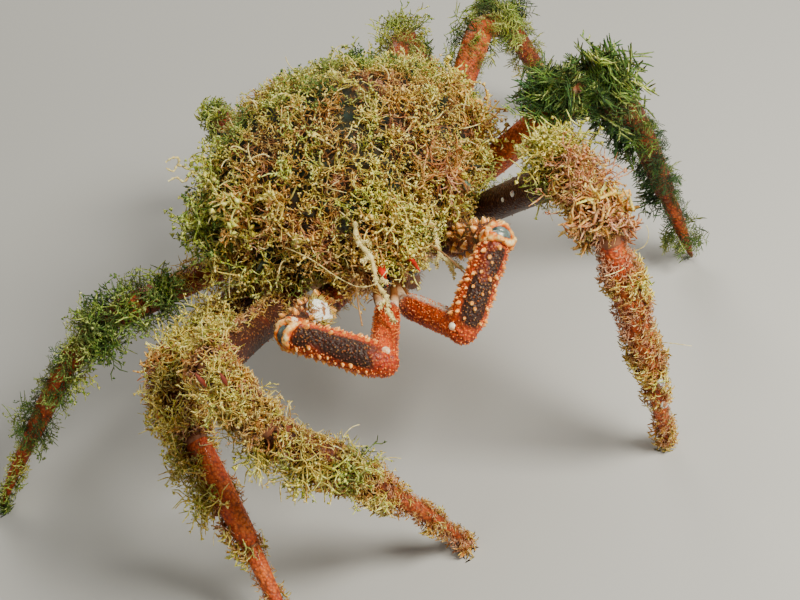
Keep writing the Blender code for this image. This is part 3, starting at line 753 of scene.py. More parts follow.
claw_units = {part: turned(f"unit claw {part}", rings) for part, rings in CLAW_TUBES.items()}
claws = {}
for side, pose in CLAW_POSE.items():
    joints = chain(mirrored(CLAW_ROOT, SIDES[side]), CLAW_LENGTHS, pose)
    claws[side] = limb(f"claw_{side}", CLAW_PARTS, joints, CLAW_RADIUS, CLAW_TUBES, claw_units,
                       "claw_shell", claw_finish, shade=banded,
                       pale=lambda *spot: bleached(*spot, side))
    palm, twist = claws[side][-1], CLAW_TWIST[side]
    rise = (palm.top * math.cos(twist) + palm.side * math.sin(twist)) * FINGER_RISE * MM
    for name, lift in (("finger", rise), ("thumb", -rise)):
        start = joints[4] + lift - palm.axis * MM
        finger = Tube(start, joints[5] + lift * 0.45, CLAW_RADIUS * MM, CLAW_TUBES["finger"])
        finger.top = (lift - finger.axis * lift.dot(finger.axis)).normalized()
        finger.side = finger.top.cross(finger.axis)
        piece = finger.placed(claw_units["finger"], f"claw_{side}_{name}")
        tinted(piece, "along", [(corner.co - start).dot(finger.axis) / finger.reach
                                for corner in piece.data.vertices])
        worn(piece, "claw_shell", finger_finish,
             *([f"claw_{side}_finger"] if name == "finger" else []))
for unit in (*leg_units.values(), *claw_units.values()):
    bpy.data.objects.remove(unit, do_unlink=True)

# Each claw arm shows a crescent of bluish skin at its middle joint, between rolled rims of orange
# shell, and its elbow is a ball of claw shell. Both have a cream hinge knuckle at either side.
KNUCKLE_SIZE, RIM_LUMPS, ELBOW_SIZE, SKIN_SIZES = 1.7, 0.9, 5.5, (5.0, 4.6)
RIM_TINT = ((0.30, (0.07, 0.012, 0.004)), (0.48, (0.42, 0.045, 0.003)), (0.68, (0.68, 0.17, 0.010)),
            (0.84, (0.80, 0.46, 0.12)), (0.98, (0.86, 0.76, 0.48)))
claw_skin = finish("claw joint skin", 0.3, Subsurface_Weight=0.15, Coat_Weight=0.3)
mottle(claw_skin, pattern(claw_skin, "Noise", 420, Detail=4), (0.030, 0.055, 0.060, 1),
       (0.16, 0.20, 0.19, 1), (0.35, 0.65), (0.5, 0.0005))
rim_finish = finish("claw rim", 0.35, Specular_IOR_Level=0.35)
roughs = pattern(rim_finish, "Noise", 430, Detail=3)
lip = reckon(rim_finish, "MULTIPLY_ADD", painted(rim_finish, "lip"), 0.55, -0.17)
tone = reckon(rim_finish, "MULTIPLY_ADD", roughs, 0.9, lip)
dress(rim_finish, Base_Color=ramp(rim_finish, tone, RIM_TINT),
      Normal=raised(rim_finish, roughs, 0.4, 0.0004))
knuckle_finish = finish("claw knuckle", 0.3, Coat_Weight=0.3)
mottle(knuckle_finish, pattern(knuckle_finish, "Noise", 500, Detail=3), (0.78, 0.70, 0.55, 1),
       (0.66, 0.30, 0.10, 1), (0.5, 0.7))


def rolled_rim(joint, way, wide, thick, aside):
    """A rolled rim of shell around a joint, square to a way."""
    begin()
    bpy.ops.mesh.primitive_torus_add(major_radius=wide * MM, minor_radius=thick * MM,
                                     major_segments=56, minor_segments=14)
    rim = named("rim")
    tinted(rim, "lip", [0.5 + (math.hypot(*corner.co.xy) / MM - wide) / thick * 0.5
                        for corner in rim.data.vertices])
    for corner in rim.data.vertices:
        spot = corner.co / MM + joint / MM
        swell = noise.noise(spot * 0.45) + 0.6 * noise.noise(spot * 1.1)
        corner.co += corner.normal * swell * RIM_LUMPS * MM
    way = way.normalized()
    turn = way.to_track_quat("Z", "Y").to_matrix().to_4x4()
    rim.data.transform(Matrix.Translation(joint + way * aside * MM) @ turn)
    return rim


for side, tubes in claws.items():
    base, merus, carpus, palm = tubes
    skins = [folded("skin", first.end, first.axis, second.axis, size * MM)
             for first, second, size in zip((merus, base), (carpus, merus), SKIN_SIZES)]
    worn(join(f"claw_{side}_joints", skins), "claw_shell", claw_skin)
    hinge = merus.axis.cross(carpus.axis).normalized()
    rims = [rolled_rim(merus.end, *rim) for rim in (
        (merus.axis * 0.72 + carpus.axis * 0.28, 4.7, 1.5, -0.9),
        (merus.axis * 0.22 + carpus.axis * 0.78, 4.5, 1.5, 0.9),
        (hinge, 1.8, 1.2, 4.9), (hinge, 1.8, 1.2, -4.9))]
    worn(join(f"claw_{side}_rims", rims), "claw_shell", rim_finish)
    elbow = folded(f"claw_{side}_elbow", carpus.end, carpus.axis, palm.axis, ELBOW_SIZE * MM)
    worn(elbow, "claw_shell", claw_finish)
    knuckles = []
    for first, second, wide in ((merus, carpus, 5.0), (carpus, palm, 4.7)):
        hinge = first.axis.cross(second.axis).normalized() * wide * MM
        for place in (first.end + hinge, first.end - hinge):
            begin()
            bpy.ops.mesh.primitive_uv_sphere_add(segments=16, ring_count=12,
                                                 radius=KNUCKLE_SIZE * MM, location=place)
            knuckle = named("knuckle")
            bpy.ops.object.transform_apply(location=True)
            knuckles.append(knuckle)
    worn(join(f"claw_{side}_knuckles", knuckles), "claw_shell", knuckle_finish)

# Rows of cream knobs stud the claws, and fine grains stand all over the shell of claws and legs.
# Each is a low cone of the shell itself, red at its foot and paler at its tip.
CLAW_GRAINS, ELBOW_GRAINS = ((30, 0.4), (150, 0.5), (380, 0.45), (520, 0.34)), 110
LEG_GRAINS, GRAIN_SIZE = (20, 90, 40, 90, 30), 0.42
KNOB_ROWS, KNOBS_IN_ROW, THORN_ROWS = 12, 10, 8
GOLDEN_TURN = 2.399963
draw = np.random.default_rng(11)
KNOB_TINT = ((0.0, (0.40, 0.030, 0.003)), (0.35, (0.70, 0.13, 0.008)), (0.7, (0.82, 0.38, 0.07)),
             (1.0, (0.84, 0.62, 0.28)))
GRAIN_TINT = ((0.0, (0.50, 0.035, 0.003)), (0.5, (0.72, 0.12, 0.006)), (1.0, (0.80, 0.28, 0.04)))


def as_shape(piece):
    """A small finished mesh as arrays: corners, loops, face sizes, height and texture place."""
    mesh = piece.data
    corners = np.array([corner.co for corner in mesh.vertices], np.float32)
    loops = np.array([loop.vertex_index for loop in mesh.loops], np.int32)
    sizes = np.array([face.loop_total for face in mesh.polygons], np.int32)
    height = np.clip(np.linalg.norm(corners, axis=1), 0, 1).astype(np.float32)
    around = np.arctan2(corners[:, 1], corners[:, 0]) / math.tau + 0.5
    bpy.data.objects.remove(piece, do_unlink=True)
    return corners, loops, sizes, height, np.stack([around, height], 1).astype(np.float32)


def scatter(name, shapes, spots, material):
    """Join many copies of small shapes, each standing on its own spot of the skin."""
    root, out, lie, size, hue, patch = (np.array(part, np.float32) for part in zip(*spots))
    out /= np.linalg.norm(out, axis=1, keepdims=True)
    lie -= out * (lie * out).sum(1, keepdims=True)
    lie /= np.linalg.norm(lie, axis=1, keepdims=True) + 1e-9
    frames = np.stack([lie, np.cross(out, lie), out], 2)
    choice = draw.integers(len(shapes), size=len(spots))
    corners, loops, sizes, along, hues, places = [], [], [], [], [], []
    count = 0
    for index, (shape, shape_loops, shape_sizes, height, flat) in enumerate(shapes):
        mine = np.flatnonzero(choice == index)
        if not len(mine):
            continue
        stood = np.einsum("nij,vj->nvi", frames[mine], shape) * size[mine, None, None]
        corners.append((stood + root[mine, None]).reshape(-1, 3))
        starts = count + np.arange(len(mine))[:, None] * len(shape)
        loops.append((shape_loops[None] + starts).ravel())
        sizes.append(np.tile(shape_sizes, len(mine)))
        along.append(np.tile(height, len(mine)))
        hues.append(np.repeat(hue[mine], len(shape)))
        places.append((patch[mine, None] + 0.003 * flat[shape_loops][None]).reshape(-1, 2))
        count += len(mine) * len(shape)
    corners, sizes = np.concatenate(corners), np.concatenate(sizes)
    corners[:, 2] = np.maximum(corners[:, 2], 0.0002)
    mesh = bpy.data.meshes.new(name)
    mesh.vertices.add(len(corners))
    mesh.vertices.foreach_set("co", corners.ravel())
    mesh.loops.add(int(sizes.sum()))
    mesh.loops.foreach_set("vertex_index", np.concatenate(loops))
    mesh.polygons.add(len(sizes))
    mesh.polygons.foreach_set("loop_start", np.concatenate([[0], np.cumsum(sizes)[:-1]]))
    mesh.update(calc_edges=True)
    mesh.shade_smooth()
    piece = bpy.data.objects.new(name, mesh)
    bpy.context.scene.collection.objects.link(piece)
    tinted(piece, "along", np.concatenate(along))
    tinted(piece, "hue", np.concatenate(hues))
    layer = mesh.uv_layers.new(name="OFBake")
    layer.data.foreach_set("uv", np.concatenate(places).ravel())
    mesh.materials.append(material)
    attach(piece, "root")


def tube_patch(index, height, turn):
    """Where a spot of a limb's skin lies on the limb's unrolled skin."""
    return (0.01 + 0.19 * (index + held(height)), 0.02 + 0.95 * (turn / math.tau % 1))


def cone_shape(name, sides, width):
    """A low cone one unit high with a rounded shoulder, its foot a little sunk."""
    begin()
    bpy.ops.mesh.primitive_circle_add(vertices=sides, radius=width, fill_type="NOTHING",
                                      location=(0, 0, -0.3))
    piece = named(name)
    bpy.ops.object.transform_apply(location=True)
    bpy.ops.object.mode_set(mode="EDIT")
    for rise, size in ((0.55, 0.8), (0.35, 0.6), (0.40, 0.1)):
        bpy.ops.mesh.extrude_region_move(TRANSFORM_OT_translate={"value": (0, 0, rise)})
        bpy.ops.transform.resize(value=(size, size, 1), center_override=(0, 0, 0))
    bpy.ops.mesh.merge(type="CENTER")
    bpy.ops.mesh.select_all(action="SELECT")
    bpy.ops.mesh.normals_make_consistent(inside=False)
    begin()
    return as_shape(piece)


grain, knob = cone_shape("grain", 5, 0.8), cone_shape("knob", 8, 0.62)
knob_finish, grain_finish = finish("knobs", 0.3, Coat_Weight=0.3), finish("grains", 0.35)
for material, stops in ((knob_finish, KNOB_TINT), (grain_finish, GRAIN_TINT)):
    rubbed = pattern(material, "Noise", 500, Detail=2)
    colour = blended(material, stepped(material, rubbed, 0.5, 0.8),
                     ramp(material, painted(material, "along"), stops), (0.34, 0.06, 0.02, 1))
    colour = blended(material, painted(material, "hue"), colour, (0.10, 0.020, 0.006, 1))
    dress(material, Base_Color=colour, Normal=raised(material, rubbed, 0.2, 0.0002))


def dome_point(step, number, lowest):
    """A point of an even golden-turn spiral over the unit ball, from its top down."""
    high = 1 - (1 - lowest) * (step + 0.5) / number
    ring, turn = math.sqrt(max(0, 1 - high * high)), step * GOLDEN_TURN
    return Vector((ring * math.sin(turn), ring * math.cos(turn), high))


def studs(tube, index, number, size, dark):
    """Spots spread evenly by a golden turn over one tube, of uneven size, dark by their place."""
    made = []
    for step in range(number):
        height = 0.04 + 0.92 * (step + 0.5) / number
        turn = step * GOLDEN_TURN + draw.uniform(-0.25, 0.25)
        root, out = tube.spot(height, turn)
        made.append((root, out, tube.axis, size * draw.uniform(0.6, 1.3) * MM, dark(root),
                     tube_patch(index, height, turn)))
    return made


for side, tubes in claws.items():
    spots = []
    for index, (number, size) in enumerate(CLAW_GRAINS):
        spots += studs(tubes[index], index, number, size,
                       lambda place: banded(index, tubes[index], place))
    for step in range(ELBOW_GRAINS):
        point = dome_point(step, ELBOW_GRAINS, -1.0)
        spots.append((tubes[2].end + point * ELBOW_SIZE * MM, point, tubes[2].axis,
                      GRAIN_SIZE * draw.uniform(0.6, 1.3) * MM, 0.0,
                      tube_patch(3, 0, step * 0.057)))
    scatter(f"claw_{side}_grains", [grain], spots, grain_finish)
    spots = []
    carpus, merus = tubes[2], tubes[1]
    for row in range(KNOB_ROWS):
        for step in range(KNOBS_IN_ROW):
            height = 0.08 + 0.84 * (step + 0.5 * (row % 2)) / KNOBS_IN_ROW
            turn = row / KNOB_ROWS * math.tau + 0.15 * math.sin(step * 2.1)
            root, out = carpus.spot(height, turn, 0.2 * MM)
            dark = banded(2, carpus, root)
            if dark > 0.4 and (side == "right" or (row + step) % 2):
                continue
            spots.append((root, out + carpus.axis * 0.35, carpus.axis,
                          (1.35 + 0.4 * math.sin(step * 1.7 + row)) * MM, 0.15 * dark,
                          tube_patch(2, height, turn)))
    for row in range(THORN_ROWS):
        for step in range(THORN_ROWS):
            height = 0.5 * (row % 2) + draw.uniform(-0.3, 0.3)
            height = 0.15 + 0.8 * (step + height) / THORN_ROWS
            turn = (row + draw.uniform(-0.45, 0.45)) / THORN_ROWS * math.tau
            root, out = merus.spot(height, turn, 0.3 * MM)
            spots.append((root, out + merus.axis * 0.4, merus.axis,
                          (1.9 + 0.9 * math.sin(step * 2 + row * 3)) * MM, 0.0,
                          tube_patch(1, height, turn)))
    scatter(f"claw_{side}_knobs", [knob], spots, knob_finish)
# The grains of the legs are darkened by the same table, with its painted shade on the second right
# merus.
for (pair, side), tubes in legs.items():
    spots = []
    for index, number in enumerate(LEG_GRAINS):
        spots += studs(tubes[index], index, number, GRAIN_SIZE,
                       lambda place: LEG_BROWN_AND_SHADE[pair, side][index])
    scatter(f"leg_{pair}_{side}_grains", [grain], spots, grain_finish)

# The feelers spring from beside the eyes. Each is one strand of tan horn that arches forward,
# with a thick jointed root and a thin lash.
FEELER_FOOT, FEELER_END, FEELER_ARCH, FEELER_STEPS = (13, -53, -3), (21, -84, -4), 4, 24


def strands(name, knots_of, sides=3):
    """Closed strands through lists of (place, thickness), as one mesh with that many sides."""
    section = bpy.data.curves.new("section", "CURVE")
    ring = section.splines.new("POLY")
    ring.points.add(sides - 1)
    for index, point in enumerate(ring.points):
        turn = math.tau * index / sides
        point.co = (math.cos(turn), math.sin(turn), 0, 1)
    ring.use_cyclic_u = True
    section_holder = bpy.data.objects.new("section", section)
    bpy.context.scene.collection.objects.link(section_holder)
    curve = bpy.data.curves.new(name, "CURVE")
    curve.dimensions, curve.bevel_mode = "3D", "OBJECT"
    curve.bevel_object, curve.use_fill_caps = section_holder, True
    for knots in knots_of:
        line = curve.splines.new("POLY")
        line.points.add(len(knots) - 1)
        for point, (place, thick) in zip(line.points, knots):
            point.co, point.radius = (*place, 1), thick
    piece = bpy.data.objects.new(name, curve)
    bpy.context.scene.collection.objects.link(piece)
    begin(piece)
    bpy.ops.object.convert(target="MESH")
    bpy.data.objects.remove(section_holder, do_unlink=True)
    bpy.ops.object.mode_set(mode="EDIT")
    bpy.ops.mesh.select_all(action="SELECT")
    bpy.ops.mesh.remove_doubles(threshold=1e-7)
    bpy.ops.object.mode_set(mode="OBJECT")
    return bpy.context.object


feeler_finish = finish("feeler", 0.4)
mottle(feeler_finish, pattern(feeler_finish, "Noise", 400, Detail=2), (0.50, 0.30, 0.12, 1),
       (0.30, 0.14, 0.05, 1), (0.4, 0.6))
for side, way in SIDES.items():
    foot, end = mirrored(FEELER_FOOT, way) * MM, mirrored(FEELER_END, way) * MM
    knots = []
    for step in range(FEELER_STEPS + 1):
        height = step / FEELER_STEPS
        arch = Vector((0, 0, FEELER_ARCH * MM * math.sin(height * math.pi)))
        thick = 1.6 - 1.3 * min(height * 2.2, 1) + (0.12 if step in (3, 6, 9) else 0)
        knots.append((foot.lerp(end, height) + arch, thick * MM))
    stand(strands(f"feeler_{side}", [knots], sides=10), "leg_shell", feeler_finish,
          f"antenna_{side}", angle=60)

# The turf on the shell is a mat of hydroids and small weed: curled tufts full of crumbs where it
# is green to yellow, and a finer haze where it is rusty to pink. A few tufts are modelled and set
# root by root over the dome, in rounded clumps with dark gaps between them.
TURF_TUFTS, TURF_CLUMPS, CLUMP_REACH = 3200, 210, 8.0
TURF_STOPS = ((0.0, (0.012, 0.080, 0.012)), (0.18, (0.100, 0.225, 0.010)),
              (0.34, (0.410, 0.540, 0.022)), (0.50, (0.850, 0.690, 0.072)),
              (0.66, (0.740, 0.370, 0.042)), (0.82, (0.520, 0.155, 0.026)),
              (1.0, (0.860, 0.420, 0.270)))
TURF_TIPS = ((0.25, (0.84, 0.88, 0.32)), (0.55, (0.92, 0.84, 0.38)), (0.76, (0.78, 0.50, 0.18)),
             (0.92, (0.86, 0.56, 0.36)))
# Painted shade: the turf darkens towards its roots, deep in the mat where shade falls, and is warmed
# to brown at mid height for the browner undergrowth.
ROOT_SHADE_TO_TIP = ((0.0, (0.06, 0.05, 0.04)), (0.4, (0.48, 0.38, 0.28)), (0.75, (0.88, 0.85, 0.78)),
               (1.0, (1.0, 1.0, 0.95)))
# Painted shade: two sizes of noise darken the turf in patches, for the shade in the valleys between
# its clumps.
SHADE_STOPS = ((0.0, (0.44, 0.40, 0.35)), (0.40, (0.71, 0.67, 0.62)), (0.56, (1, 1, 1)))
PINK_FROM = 0.70
# Where the turf stands shorter or longer: middle, reach and how many times its height.
TURF_SHORT_LONG = (((-40, 38, 22), 32, 0.42), ((-54, -14, 6), 24, 1.75), ((28, 50, 28), 22, 1.15),
                   ((-10, -52, 12), 14, 1.15), ((0, 60, 5), 30, 0.8), ((-12, 50, 34), 24, 0.72),
                   ((12, 16, 44), 26, 0.66))
chance = random.Random(5)


def loose(reach=1.0):
    """A vector that points anywhere, each of its parts up to a reach."""
    return Vector([chance.uniform(-reach, reach) for _ in range(3)])


def sprig(shoots, thick, spread, curl, flat=False, steps=3, crumbs=0):
    """A tuft one unit tall: a bent stem, curled side shoots and crumbs caught between them."""
    sway = chance.uniform(0, math.tau)

    def stem(height):
        return Vector((curl * height * height + 0.06 * math.sin(height * 7 + sway),
                       0.10 * math.sin(height * 5 + sway), height * (1 - 0.3 * curl * height)))

    lines = [[(stem(height), thick * (1.15 - 0.6 * height)) for height in (-.05, .35, .7, 1)]]
    for index in range(shoots):
        height = 0.18 + 0.8 * (index + chance.random()) / shoots
        turn = math.pi * (index % 2) + 1.57 if flat else index * 2.4 + chance.uniform(-.6, .6)
        way = Vector((math.cos(turn), math.sin(turn), chance.uniform(0.0, 1.0))).normalized()
        bend = way.cross(loose()).normalized()
        reach = spread * (1.25 - 0.6 * height) * chance.uniform(0.7, 1.3) / steps
        place = stem(height)
        knots = [(place, thick * 0.75)]
        for step in range(steps):
            place = place + way * reach
            way = (way + bend * (0.25 if flat else 0.6)).normalized()
            knots.append((place, thick * (0.6, 1.0, 0.45)[step + 3 - steps]))
        lines.append(knots)
    tuft = strands("sprig", lines)
    bpy.ops.object.mode_set(mode="EDIT")
    for _ in range(crumbs):
        place = Vector(chance.choice(chance.choice(lines[1:])[1:])[0]) + loose(0.09)
        size = chance.uniform(0.045, 0.085)
        bpy.ops.mesh.primitive_cone_add(vertices=3, radius1=size, depth=size * 1.5, location=place,
                                        rotation=[chance.uniform(0, 6) for _ in range(3)])
    begin()
    return as_shape(tuft)


turf_finish = finish("turf", 0.7, Subsurface_Weight=0.08, Subsurface_Scale=0.002)
hue, along = painted(turf_finish, "hue"), painted(turf_finish, "along")
drift = reckon(turf_finish, "MULTIPLY_ADD", pattern(turf_finish, "Noise", 330, Detail=2), 0.30,
               -0.15)
colour = ramp(turf_finish, reckon(turf_finish, "ADD", hue, drift), TURF_STOPS)
# The turf's colour is multiplied by painted shade: darker towards its roots, and darker in patches
# of two sizes.
shades = [ramp(turf_finish, along, ROOT_SHADE_TO_TIP)]
shades += [ramp(turf_finish, pattern(turf_finish, "Noise", scale, Detail=3), SHADE_STOPS)
           for scale in (190, 62)]
for shade in shades:
    colour = blended(turf_finish, 1.0, colour, shade, "MULTIPLY")
crumbs = pattern(turf_finish, "Noise", 900, Detail=2)
paling = reckon(turf_finish, "MULTIPLY", stepped(turf_finish, along, 0.5, 0.95),
                stepped(turf_finish, crumbs, 0.44, 0.60))
paling = reckon(turf_finish, "MULTIPLY", paling, stepped(turf_finish, hue, 0.10, 0.28))
paling = reckon(turf_finish, "MULTIPLY", paling, 0.8)
dress(turf_finish,
      Base_Color=blended(turf_finish, paling, colour, ramp(turf_finish, hue, TURF_TIPS)),
      Normal=raised(turf_finish, crumbs, 0.5, 0.0004))

turf = [sprig(6, 0.027, 0.58, curl, crumbs=9) for curl in (0.1, 0.3, 0.5, 0.7, 0.4, 0.2)]
haze = [sprig(9, 0.023, 0.50, curl, steps=2) for curl in (0.2, 0.5, 0.8, 0.3)]
brush = [sprig(6, 0.025, 0.60, curl, steps=2, crumbs=5) for curl in (0.2, 0.4, 0.6, 0.3)]
fuzz = [sprig(3, 0.070, 0.74, curl, steps=2) for curl in (0.2, 0.5, 0.3)]
frond = [sprig(12, 0.022, 0.46, curl, flat=True, steps=2) for curl in (0.2, 0.5, 0.8)]


def turf_size(place, point):
    """How tall the turf stands at a place of the shell, in millimetres."""
    size = 10.2 + 5.0 * noise.noise(place * 0.05) + 5.0 * noise.noise(place * 0.12)
    size *= 1 - 0.25 * max(0, -point.y - 0.55) / 0.45
    for middle, reach, times in TURF_SHORT_LONG:
        size *= 1 + (times - 1) * math.exp(-((place - Vector(middle)).length / reach) ** 2)
    for middle, reach in GAPS:
        size *= 1 - 0.75 * math.exp(-((place - Vector(middle)).length / reach) ** 2)
    return size


def dome_patch(point):
    """Where a spot of the shell's skin lies on its unrolled skin."""
    return (0.01 + 0.97 * (math.atan2(point.x, point.y) / math.tau + 0.5),
            0.01 + 0.97 * math.acos(max(-1, min(1, point.z))) / math.pi * 1.4)


clumps = []
for step in range(TURF_CLUMPS):
    centre = shell_spot((dome_point(step, TURF_CLUMPS, -0.1) + loose(0.07)).normalized())
    clumps.append((centre, chance.uniform(0.55, 1.35), chance.gauss(0, 0.08)))
middles = np.array([centre for centre, _, _ in clumps])
spots = []
for step in range(TURF_TUFTS):
    point = (dome_point(step, TURF_TUFTS, -0.12) + loose(0.03)).normalized()
    if point.y < -0.93 and abs(point.x) < 0.3 and point.z < 0.12:  # the rim above the mouth
        continue
    place = shell_spot(point)
    centre, tall, tone = clumps[np.linalg.norm(middles - np.array(place), axis=1).argmin()]
    away = (place - centre) / CLUMP_REACH
    out = Vector((place.x / SHELL_HALF[0] ** 2, (place.y - SHELL_MIDDLE[1]) / SHELL_HALF[1] ** 2,
                  max(place.z, -4) / SHELL_HALF[2] ** 2)).normalized()
    lean = loose()
    size = turf_size(place, point) * tall * max(0.45, 1 - 0.5 * away.length_squared)
    share = chance.uniform(0.60, 1.22)
    hue = shell_hue(place) + tone + chance.uniform(-0.05, 0.05) + 0.15 * max(0.0, 1 - size / 9)
    hue += 0.75 * (0.92 - share)
    spots.append((STANCE @ ((place - out * 0.6) * MM), out + away * 0.75 + lean * 0.35,
                  lean, size * share * MM, held(hue), dome_patch(point)))
for name, shapes, low, high, parts in (("turf", turf, -1, PINK_FROM, 4),
                                      ("haze", haze, PINK_FROM, 2, 2)):
    chosen = [spot for spot in spots if low <= spot[4] < high]
    share = len(chosen) // parts + 1
    for index in range(parts):
        scatter(f"shell_{name}_{index + 1}", shapes, chosen[index * share:(index + 1) * share],
                turf_finish)

# The legs carry growth of three kinds: bushy brush at the knees, short rusty fuzz on the front
# legs, and dark feathery fronds on the far left legs. All of it is solid strands like the turf's,
# and it stands closest on the upper side.
TUFT_SUNK, MOST_TURN, ALWAYS_GREEN = 0.4, 1.9, 0.38
# Growth of each length from the base out: kind, number, height in millimetres and tint.
LEG_GROWTH = {
    (1, "left"): ((brush, 40, 4, .30), (brush, 200, 8, .34), (fuzz, 370, 6.5, .84),
                  (fuzz, 1030, 4.9, .77), (fuzz, 370, 3.7, .74)),
    (1, "right"): ((brush, 60, 5, .76), (fuzz, 580, 5.5, .76), (fuzz, 580, 5.0, .80),
                   (fuzz, 820, 4.4, .80), (fuzz, 430, 4.0, .74)),
    (2, "left"): ((brush, 40, 4, .40), (fuzz, 90, 3, .55), (frond, 200, 10, .08),
                  (frond, 240, 9.5, .05), (frond, 100, 7.5, .10)),
    (2, "right"): ((brush, 60, 5, .55), (fuzz, 470, 5.5, .80), (fuzz, 390, 5.5, .80),
                   (fuzz, 410, 5, .78), (fuzz, 220, 4.4, .70)),
    (3, "left"): ((brush, 40, 5, .30), (frond, 130, 10, .20), (frond, 140, 12, .18),
                  (frond, 120, 9, .20), (fuzz, 120, 5, .3)),
    (3, "right"): ((brush, 60, 6, .34), (brush, 205, 9, .20), (brush, 170, 10, .20),
                   (brush, 170, 8, .21), (fuzz, 160, 5, .24)),
    (4, "left"): ((brush, 30, 5, .35), (brush, 90, 7, .30), (brush, 100, 7, .30),
                  (fuzz, 180, 5, .3), (fuzz, 110, 4, .3)),
    (4, "right"): ((brush, 30, 5, .35), (fuzz, 160, 4, .30), (fuzz, 160, 4, .30),
                   (fuzz, 180, 4, .3), (fuzz, 110, 4, .3)),
}
# Bushes that stand out at the knees: leg, length, from and to along it, how many, how tall in
# millimetres, kind, tint and the way that they stand.
BUSHES = (
    ((1, "left"), 1, .84, 1.0, 110, 13, brush, .44, (-.5, .5, .8)),
    ((1, "left"), 2, .0, .7, 90, 11, brush, .86, (.0, .3, 1)),
    ((2, "left"), 1, .72, 1.04, 120, 13, frond, .10, (.0, -.1, 1)),
    ((2, "left"), 2, -.06, .22, 60, 8, frond, .10, (-.4, -.5, .7)),
    ((2, "left"), 2, .0, .35, 60, 19, frond, .12, (1, .1, .35)),
    ((2, "left"), 1, .84, 1.05, 70, 8, frond, .12, (-.2, -.6, .7)),
    ((1, "left"), 2, .0, .95, 90, 8, brush, .60, (.0, -.3, .8)),
    ((2, "right"), 1, .35, 1.0, 150, 11, brush, .48, (-.2, -.5, .7)),
    ((2, "right"), 2, .0, .9, 110, 9, brush, .48, (-.6, -.4, .6)),
    ((3, "right"), 1, .55, 1.0, 130, 13, brush, .18, (-.3, -.6, .7)),
    ((3, "right"), 2, .0, .6, 70, 12, brush, .17, (-.2, -.7, .2)),
    ((1, "right"), 1, .55, 1.0, 90, 9, brush, .48, (-.5, -.4, .6)),
    ((1, "right"), 2, .0, .9, 150, 9, brush, .48, (-.3, -.5, .6)),
    ((1, "right"), 2, .86, 1.08, 60, 7.5, brush, .62, (.1, -.7, .7)),
    ((2, "right"), 2, .85, 1.06, 40, 7, brush, .46, (-.6, -.2, .5)),
    ((1, "left"), 2, .90, 1.06, 50, 6, brush, .62, (-.1, -.7, .6)),
    ((1, "right"), 3, .0, .98, 140, 6.5, brush, .54, (-.1, -.4, .9)),
    ((1, "right"), 3, .02, .42, 80, 13, brush, .45, (-.5, -.5, -.7)),
    ((1, "right"), 3, .62, .76, 30, 9, brush, .30, (.0, -.6, .8)),
    ((3, "right"), 1, .05, .60, 110, 7, brush, .55, (.0, -.5, .9)),
    ((2, "right"), 1, .05, .45, 90, 6, brush, .62, (.0, -.5, .9)),
    ((2, "right"), 3, .0, .60, 120, 11, brush, .48, (-1, .0, .3)),
)
# The side of each leg towards which its growth hangs, beyond the even growth all round.
GROWTH_SIDE = {
    (1, "left"): (-.1, .6, .7), (1, "right"): (-.9, -.2, -.4), (2, "left"): (-.6, .8, .9),
    (2, "right"): (-.9, .3, .3), (3, "left"): (.2, .6, .9), (3, "right"): (-.4, -.5, -.4),
    (4, "left"): (.0, .5, .9), (4, "right"): (-.5, .5, .6),
}
# Stretches where the shell shows bare: tube, from and to along it, and the way that they face.
BARE = {
    (1, "left"): ((1, .1, .8, (0, -.5, .85)), (1, .1, .8, (0, -.8, 0))),
    (1, "right"): ((1, .2, .9, (.9, -.3, -.3)), (3, .42, .56, (0, -.7, .7))),
    (2, "left"): ((1, .1, .80, (0, -.7, .7)),),
    (2, "right"): ((3, .0, .95, (.5, -.5, .6)), (4, 0, 1, (.5, -.5, .6))),
    (3, "right"): ((1, .55, .75, (0, -.6, .8)),),
}


def growth(tubes, kinds, bare, hang):
    """Tufts over the lengths of one leg, sorted by their kind of shape."""
    made = {}
    for index, ((shapes, number, size, hue), tube) in enumerate(zip(kinds, tubes)):
        for _ in range(number):
            height = 0.03 + (1.03 if 0 < index < 4 else 0.95) * chance.random()
            turn = chance.uniform(-math.pi, math.pi)
            if abs(tube.axis.z) < 0.7:
                turn = chance.triangular(-math.pi, math.pi, 0)
            root, out = tube.spot(height, turn, TUFT_SUNK * MM)
            place = root / MM
            clump = 0.85 + 0.9 * noise.noise(place * 0.10)
            if clump < 0.5 * chance.random():
                continue
            if any(index == length and low < height < high
                   and out.dot(Vector(facing).normalized()) > 0.35
                   for length, low, high, facing in bare):
                continue
            lean = Vector((chance.uniform(-1, 1), chance.uniform(-1, 1), chance.uniform(-1, 0.4)))
            share = chance.uniform(0.60, 1.27)
            tall = size * max(clump, 0.4) * share
            tall *= 0.74 + 0.45 * max(0.0, out.dot(hang))
            if index == 1:
                tall *= 0.55 + 0.6 * height * height
            tint = hue + 0.28 * noise.noise(place * 0.08) + chance.uniform(-0.07, 0.07)
            if hue > ALWAYS_GREEN:
                tint += 0.2 * max(0.0, 1 - clump) + 0.7 * (0.94 - share)
            spot = (root, out + lean * 0.4 + tube.axis * 0.15, lean + tube.axis,
                    tall * MM, held(tint), tube_patch(index, height, turn))
            made.setdefault(id(shapes), (shapes, []))[1].append(spot)
    return made.values()


for (pair, side), tubes in legs.items():
    grown = growth(tubes, LEG_GROWTH[pair, side], BARE.get((pair, side), ()),
                   Vector(GROWTH_SIDE[pair, side]).normalized())
    for index, (shapes, spots) in enumerate(grown):
        scatter(f"leg_{pair}_{side}_growth_{index + 1}", shapes, spots, turf_finish)

